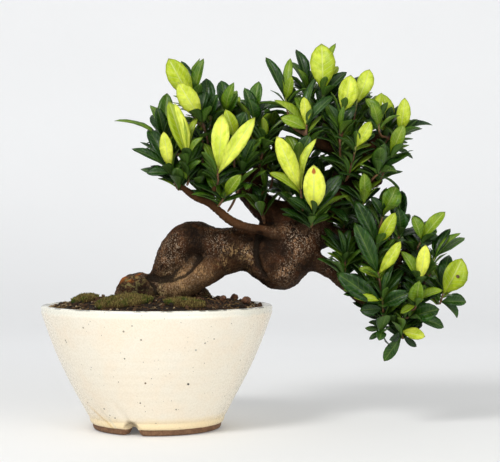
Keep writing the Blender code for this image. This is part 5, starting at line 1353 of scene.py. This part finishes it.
def twig_mesh(bm, start, direction, length, radius):
    """A bent, tapering five-sided stem with both ends closed."""
    side = direction.orthogonal().normalized()
    other = direction.cross(side)
    bend = (side * chance.gauss(0, 0.14) + other * chance.gauss(0, 0.14)) * length
    rings = []
    for i in range(4):
        t = i / 3
        middle = start + direction * length * t + bend * t * (1 - t) * 2
        size = radius * (1 - 0.5 * t)
        rings.append([bm.verts.new(middle + side * size * math.cos(a) + other * size * math.sin(a))
                      for a in (0, 1.257, 2.513, 3.770, 5.027)])
    for a, b in zip(rings, rings[1:]):
        for k in range(5):
            bm.faces.new([a[k], a[(k + 1) % 5], b[(k + 1) % 5], b[k]])
    bm.faces.new(rings[0][::-1])
    bm.faces.new(rings[-1])


def grow_shade(count):
    """Up to `count` twigs on the wood: one bmesh of their stems, and a list of their leaves."""
    bm = bmesh.new()
    kept = []
    for place, normal in bud_points(count):
        direction = (normal + Vector((chance.gauss(0, 0.3), chance.gauss(0, 0.3),
                                      0.5))).normalized()
        length = chance.uniform(0.006, 0.013)
        turn = chance.uniform(0, math.tau)
        side = direction.orthogonal().normalized()
        found = []
        for k in range(7):
            turn += 2.4
            out = side * math.cos(turn) + direction.cross(side) * math.sin(turn)
            way = (out + direction * chance.uniform(0.4, 1.4) + Vector((0, 0, 0.2))).normalized()
            base = place + direction * length * (1 - 0.10 * k) * 0.98
            size = chance.uniform(0.012, 0.022)
            facing = Vector((0, -0.5, 1)) - out * 0.3
            facing = (facing - way * facing.dot(way)).normalized()
            leaf = {"base": base, "tip": base + way * size, "facing": facing, "chosen": False,
                    "width": size * chance.uniform(0.44, 0.58), "bow": chance.uniform(0.02, 0.08)}
            if in_front_view_gap(leaf["tip"]) or hides_a_front_leaf(leaf) or cuts_another(leaf):
                continue
            found.append(leaf)
            remember(leaf)
        if len(found) > 2:
            twig_mesh(bm, place - direction * 0.001, direction, length + 0.001, 0.0007)
            kept.extend(found)
    return bm, kept


SHADE_TWIGS = 120
bm, leaves = grow_shade(SHADE_TWIGS)
print("shade", leafed("shaded_twigs", bm, leaves), "leaves and faces")
bpy.data.objects.remove(leaf_pattern)

# %% [markdown]
# ## Scattering
# Soil, litter and moss are all many small bodies on a surface. One tree scatters them: it picks
# points on the upward faces of the bed above a height, puts one of three patterns on each, turns
# and sizes it by chance, gives it a tone of its own and makes everything real. Grains tumble
# freely, straws lie flat and moss shoots stand up, so how far each may turn from upright is an
# input.

# %% The tree that scatters
def random_value(tree, kind, low, high, seed):
    first = 0 if kind == "FLOAT_VECTOR" else 2
    made = put(tree, "FunctionNodeRandomValue", {first: low, first + 1: high, 8: seed},
               data_type=kind)
    return made.outputs[0 if kind == "FLOAT_VECTOR" else 1]


def make_scattering():
    tree, given, result = new_geometry_tree("Scatter", [
        ("First", "Object", None), ("Second", "Object", None), ("Third", "Object", None),
        ("Density", "Float", 1000.0), ("Smallest", "Float", 0.001), ("Largest", "Float", 0.002),
        ("Tilt", "Float", 3.14), ("Lowest", "Float", 0.0), ("Seed", "Int", 0),
        ("Finish", "Material", None)])
    up = put(tree, "ShaderNodeSeparateXYZ",
             {0: put(tree, "GeometryNodeInputNormal").outputs[0]}).outputs[2]
    high = put(tree, "ShaderNodeSeparateXYZ",
               {0: put(tree, "GeometryNodeInputPosition").outputs[0]}).outputs[2]
    allowed = times(tree, math_of(tree, "GREATER_THAN", up, 0.35), math_of(tree, "GREATER_THAN",
                                                                           high, given["Lowest"]))
    allowed = times(tree, allowed, math_of(tree, "GREATER_THAN", stored(tree, "bed"), 0.5))
    spread = put(tree, "GeometryNodeDistributePointsOnFaces", {"Mesh": given["Geometry"],
                                                               "Selection": allowed,
                                                               "Density": given["Density"],
                                                               "Seed": given["Seed"]})
    kinds = put(tree, "GeometryNodeGeometryToInstance")
    for label in ("Third", "Second", "First"):
        one = put(tree, "GeometryNodeObjectInfo", {"Object": given[label]}).outputs["Geometry"]
        tree.links.new(one, kinds.inputs[0])
    lean = vector_of(tree, "MULTIPLY", random_value(tree, "FLOAT_VECTOR", (-1, -1, -math.pi),
                                                    (1, 1, math.pi), given["Seed"]),
                     put(tree, "ShaderNodeCombineXYZ", {0: given["Tilt"], 1: given["Tilt"],
                                                        2: 1.0}).outputs[0])
    turn = put(tree, "FunctionNodeEulerToRotation", {0: lean}).outputs[0]
    size = random_value(tree, "FLOAT", given["Smallest"], given["Largest"],
                        plus(tree, given["Seed"], 5.0))
    placed = put(tree, "GeometryNodeInstanceOnPoints", {
        "Points": spread.outputs["Points"], "Instance": kinds.outputs[0], "Pick Instance": True,
        "Rotation": turn, "Scale": size}).outputs[0]
    toned = put(tree, "GeometryNodeStoreNamedAttribute", {"Geometry": placed, "Name": "tone",
                                                          "Value": random_value(tree, "FLOAT", 0.0,
                                                                                1.0,
                                                                                plus(tree,
                                                                                     given["Seed"],
                                                                                     9.0))},
                data_type="FLOAT", domain="INSTANCE").outputs[0]
    bodies = put(tree, "GeometryNodeRealizeInstances", {0: toned}).outputs[0]
    bodies = put(tree, "GeometryNodeSetMaterial", {"Geometry": bodies,
                                                   "Material": given["Finish"]}).outputs[0]
    both = put(tree, "GeometryNodeJoinGeometry")
    tree.links.new(bodies, both.inputs[0])
    tree.links.new(given["Geometry"], both.inputs[0])
    tree.links.new(both.outputs[0], result["Geometry"])
    return tree


SCATTERING = make_scattering()


def scattered(bed, patterns, **values):
    """The bed's mesh with bodies scattered on it."""
    made = bed.modifiers.new("Scatter", "NODES")
    made.node_group = SCATTERING
    sockets = inputs_of(SCATTERING)
    for label, pattern in zip(("First", "Second", "Third"), patterns):
        made[sockets[label]] = pattern
    for label, value in values.items():
        made[sockets[label]] = value
    settle(bed)


def grain_pattern(name, seed):
    """A broken crumb, one unit across: a twenty-sided ball with its corners moved."""
    rolled = random.Random(seed)
    bm = bmesh.new()
    bmesh.ops.create_icosphere(bm, subdivisions=1, radius=0.5)
    for vertex in bm.verts:
        vertex.co *= rolled.uniform(0.72, 1.2)
        vertex.co.z *= 0.75
    return object_of(name, bm)


def straw_pattern(name, bend, thick):
    """A bent three-sided stalk, one unit long, lying on the ground."""
    bm = bmesh.new()
    rings = []
    for i in range(5):
        t = i / 4
        middle = Vector((t - 0.5, bend * math.sin(math.pi * t), thick * 1.2 + 0.08 * t * (1 - t)))
        radius = thick * (1 - 0.4 * abs(2 * t - 1))
        rings.append([bm.verts.new(middle + Vector((0, radius * math.cos(a), radius * math.sin(a))))
                      for a in (0.5, 2.6, 4.7)])
    for a, b in zip(rings, rings[1:]):
        for k in range(3):
            bm.faces.new([a[k], b[k], b[(k + 1) % 3], a[(k + 1) % 3]])
    bm.faces.new(rings[0])
    bm.faces.new(rings[-1][::-1])
    bmesh.ops.recalc_face_normals(bm, faces=bm.faces)
    return object_of(name, bm)


def spike_pattern(name, wide, lean):
    """One moss shoot, one unit high: three narrow sides over a small base."""
    bm = bmesh.new()
    base = [bm.verts.new((wide * math.cos(a), wide * math.sin(a), -0.15)) for a in (0.3, 2.4, 4.5)]
    middle = [bm.verts.new((0.9 * wide * math.cos(a) + lean * 0.4, 0.9 * wide * math.sin(a), 0.5))
              for a in (0.3, 2.4, 4.5)]
    tip = bm.verts.new((lean, 0, 1))
    for k in range(3):
        bm.faces.new([base[k], base[(k + 1) % 3], middle[(k + 1) % 3], middle[k]])
        bm.faces.new([middle[k], middle[(k + 1) % 3], tip])
    bm.faces.new(base[::-1])
    return object_of(name, bm)


grains = [grain_pattern("grain_%d" % i, i) for i in range(3)]
straws = [straw_pattern("straw_0", 0.10, 0.035), straw_pattern("straw_1", -0.16, 0.028),
          straw_pattern("straw_2", 0.04, 0.05)]
spikes = [spike_pattern("spike_0", 0.16, 0.15), spike_pattern("spike_1", 0.13, -0.3),
          spike_pattern("spike_2", 0.2, 0.05)]
print("tree", SCATTERING.name, "with", len(SCATTERING.nodes), "nodes")

# %% [markdown]
# ## The soil
# Bonsai soil is baked clay grit and bark, so it drains and the roots can breathe. The frame's bed
# has the pocket for the roots and the mesh: it is remeshed fine and only its top is roughened, so
# it still fits the pot. Crumbs of three sizes lie over it, then dry stalks and needles that the
# tree dropped.

# %% Soil
def make_earth(name, dark, warm, pale):
    """A dull, crumbly finish in three tones: by `tone` on each body, by noise on the bed."""
    made, tree, shader, where = new_material(name)
    tone = attribute_of(tree, "tone")
    cloud = mottle(tree, where, 0.28, 5.0, 0.52, 0.12)
    fine = mottle(tree, where, 1.4, 4.0, 0.5, 0.2)
    shade = mixed(tree, ramp_between(tree, plus(tree, tone, times(tree, cloud, 0.4)), 0.3, 0.85),
                  colour(*dark), colour(*warm))
    light = ramp_between(tree, plus(tree, tone, times(tree, fine, 0.08)), 0.93, 0.99)
    shade = mixed(tree, light, shade, colour(*pale))
    shade = mixed(tree, times(tree, fine, 0.35), shade, mixed(tree, 1.0, shade, colour(0.4, 0.4,
                                                                                       0.4),
                                                              "MULTIPLY"))
    tree.links.new(shade, shader.inputs["Base Color"])
    tree.links.new(plus(tree, 0.72, times(tree, fine, 0.2)), shader.inputs["Roughness"])
    shader.inputs["Specular IOR Level"].default_value = 0.2
    bump(tree, shader, grain(tree, where, 1.2, 0.8), 0.7, 0.5)
    return made


def make_bed(node, voxel, rough, lowest, finish):
    """A fine copy of a frame piece, roughened above a height and marked as a bed to scatter on."""
    bed = object_of(node + "_work", welded_copy(node))
    modified(bed, "REMESH", mode="VOXEL", voxel_size=voxel * MM)
    modified(bed, "SMOOTH", factor=0.5, iterations=2)
    for vertex in bed.data.vertices:
        place = (vertex.co - AXIS) / MM
        if place.z > lowest and vertex.normal.z > 0.2:
            rise = 0.7 * noise.noise(place / 5.5) + 0.45 * noise.noise(place / 1.9) + 0.35
            vertex.co.z += rough * rise * MM
    set_attribute(bed.data, "bed", [1.0] * len(bed.data.vertices))
    bed.data.materials.clear()
    bed.data.materials.append(finish)
    return bed


SOIL_FINISH = make_earth("dark_soil", (0.016, 0.009, 0.005), (0.085, 0.042, 0.018), (0.40, 0.29,
                                                                                     0.16))
LITTER_FINISH = make_earth("dry_litter", (0.10, 0.055, 0.02), (0.30, 0.19, 0.07), (0.52, 0.42,
                                                                                   0.24))
bed = make_bed("soil", 1.3, 1.1, 76.0, SOIL_FINISH)
above = RIM - 0.0035
scattered(bed, grains, Density=110000.0, Smallest=0.0008, Largest=0.0024, Lowest=above, Seed=3,
          Finish=SOIL_FINISH)
scattered(bed, grains, Density=12000.0, Smallest=0.0024, Largest=0.0046, Lowest=above, Seed=12,
          Finish=SOIL_FINISH)
scattered(bed, straws, Density=26000.0, Smallest=0.003, Largest=0.008, Tilt=0.35, Lowest=above,
          Seed=7, Finish=LITTER_FINISH)
mesh = bed.data
soil = piece_from("soil_bed", mesh, None, "soil", "soil")
bpy.data.objects.remove(bed)
print("soil", len(mesh.polygons), "faces")

# %% [markdown]
# ## Moss and grit
# Moss makes low cushions near the roots: the frame's cushions carry hundreds of tiny shoots, green
# where it is damp and yellow where it has dried. Three rounds of fired clay lie on the soil, rough
# and rust-brown.

# %% Moss, clay rounds and the drain's cover
def make_moss():
    made, tree, shader, where = new_material("cushion_moss")
    tone = attribute_of(tree, "tone")
    cloud = mottle(tree, where, 0.14, 4.0, 0.44, 0.1)
    green = mixed(tree, tone, colour(0.022, 0.045, 0.005), colour(0.10, 0.14, 0.014))
    dry = mixed(tree, tone, colour(0.07, 0.042, 0.012), colour(0.30, 0.23, 0.07))
    mat = mixed(tree, cloud, green, dry)
    pale = effect(tree, SPECKS, "Mask", Vector=where, Spacing=5.0, Radius=1.1, Share=0.35)
    mat = over(tree, mat, pale, 0.8, (0.46, 0.48, 0.30))
    tree.links.new(mat, shader.inputs["Base Color"])
    tree.links.new(plus(tree, 0.75, times(tree, tone, 0.15)), shader.inputs["Roughness"])
    shader.inputs["Specular IOR Level"].default_value = 0.15
    bump(tree, shader, grain(tree, where, 1.8, 1.0), 0.8, 0.5)
    return made


def make_fired_clay():
    made, tree, shader, where = new_material("fired_clay_grit")
    cloud = mottle(tree, where, 0.5, 5.0, 0.5, 0.15)
    # Painted shade: dark dots stand for the shade inside the grit's pores.
    pore_shade = effect(tree, SPECKS, "Mask", Vector=where, Spacing=0.9, Radius=0.2, Share=0.5)
    clay = mixed(tree, cloud, colour(0.055, 0.022, 0.010), colour(0.19, 0.075, 0.028))
    tree.links.new(mixed(tree, pore_shade, clay, colour(0.02, 0.01, 0.006)), shader.inputs["Base Color"])
    tree.links.new(plus(tree, 0.7, times(tree, cloud, 0.2)), shader.inputs["Roughness"])
    bump(tree, shader, grain(tree, where, 1.6, 0.8), 0.7, 0.4)
    return made


def make_plain(name, dark, light, rough, metallic, scale):
    """A worn moulded or drawn finish, for the cover of the drain hole."""
    made, tree, shader, where = new_material(name)
    cloud = mottle(tree, where, scale, 4.0, 0.5, 0.2)
    tree.links.new(mixed(tree, cloud, colour(*dark), colour(*light)), shader.inputs["Base Color"])
    tree.links.new(plus(tree, rough, times(tree, cloud, 0.15)), shader.inputs["Roughness"])
    shader.inputs["Metallic"].default_value = metallic
    bump(tree, shader, grain(tree, where, scale * 2, 0.3), 0.25, 0.1)
    return made


MOSS_FINISH = make_moss()
for node in sorted(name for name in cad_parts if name.startswith("moss")):
    cushion = make_bed(node, 0.8, 1.0, 79.0, MOSS_FINISH)
    scattered(cushion, spikes, Density=2600000.0, Smallest=0.0010, Largest=0.0024, Tilt=0.55,
              Lowest=0.0, Seed=2, Finish=MOSS_FINISH)
    made = piece_from(node + "_cushion", cushion.data, None, "moss", node)
    bpy.data.objects.remove(cushion)
    print(made.name, len(made.data.polygons), "faces")

CLAY_FINISH = make_fired_clay()
for node in sorted(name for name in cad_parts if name.startswith("surface_stone")):
    stone = object_of(node + "_work", welded_copy(node))
    modified(stone, "SUBSURF", levels=2, render_levels=2)
    for vertex in stone.data.vertices:
        place = vertex.co / MM
        rise = 0.45 * noise.noise(place / 1.6) + 0.18 * noise.noise(place / 0.6)
        vertex.co += vertex.normal * rise * MM
    made = piece_from(node + "_grit", stone.data, CLAY_FINISH, "fired_clay", node)
    bpy.data.objects.remove(stone)
    print(made.name, len(made.data.polygons), "faces")

for node, finish in (("drainage_mesh", make_plain("black_mesh", (0.012, 0.012, 0.013), (0.03, 0.03,
                                                                                        0.03), 0.5,
                                                  0.0, 0.6)), ("mesh_clip", make_plain("dull_wire",
                                                                                       (0.34, 0.32,
                                                                                        0.29),
                                                                                       (0.48, 0.47,
                                                                                        0.45), 0.35,
                                                                                       1.0, 0.9))):
    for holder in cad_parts[node].material_slots:
        holder.material = finish
for pattern in grains + straws + spikes:
    bpy.data.objects.remove(pattern)
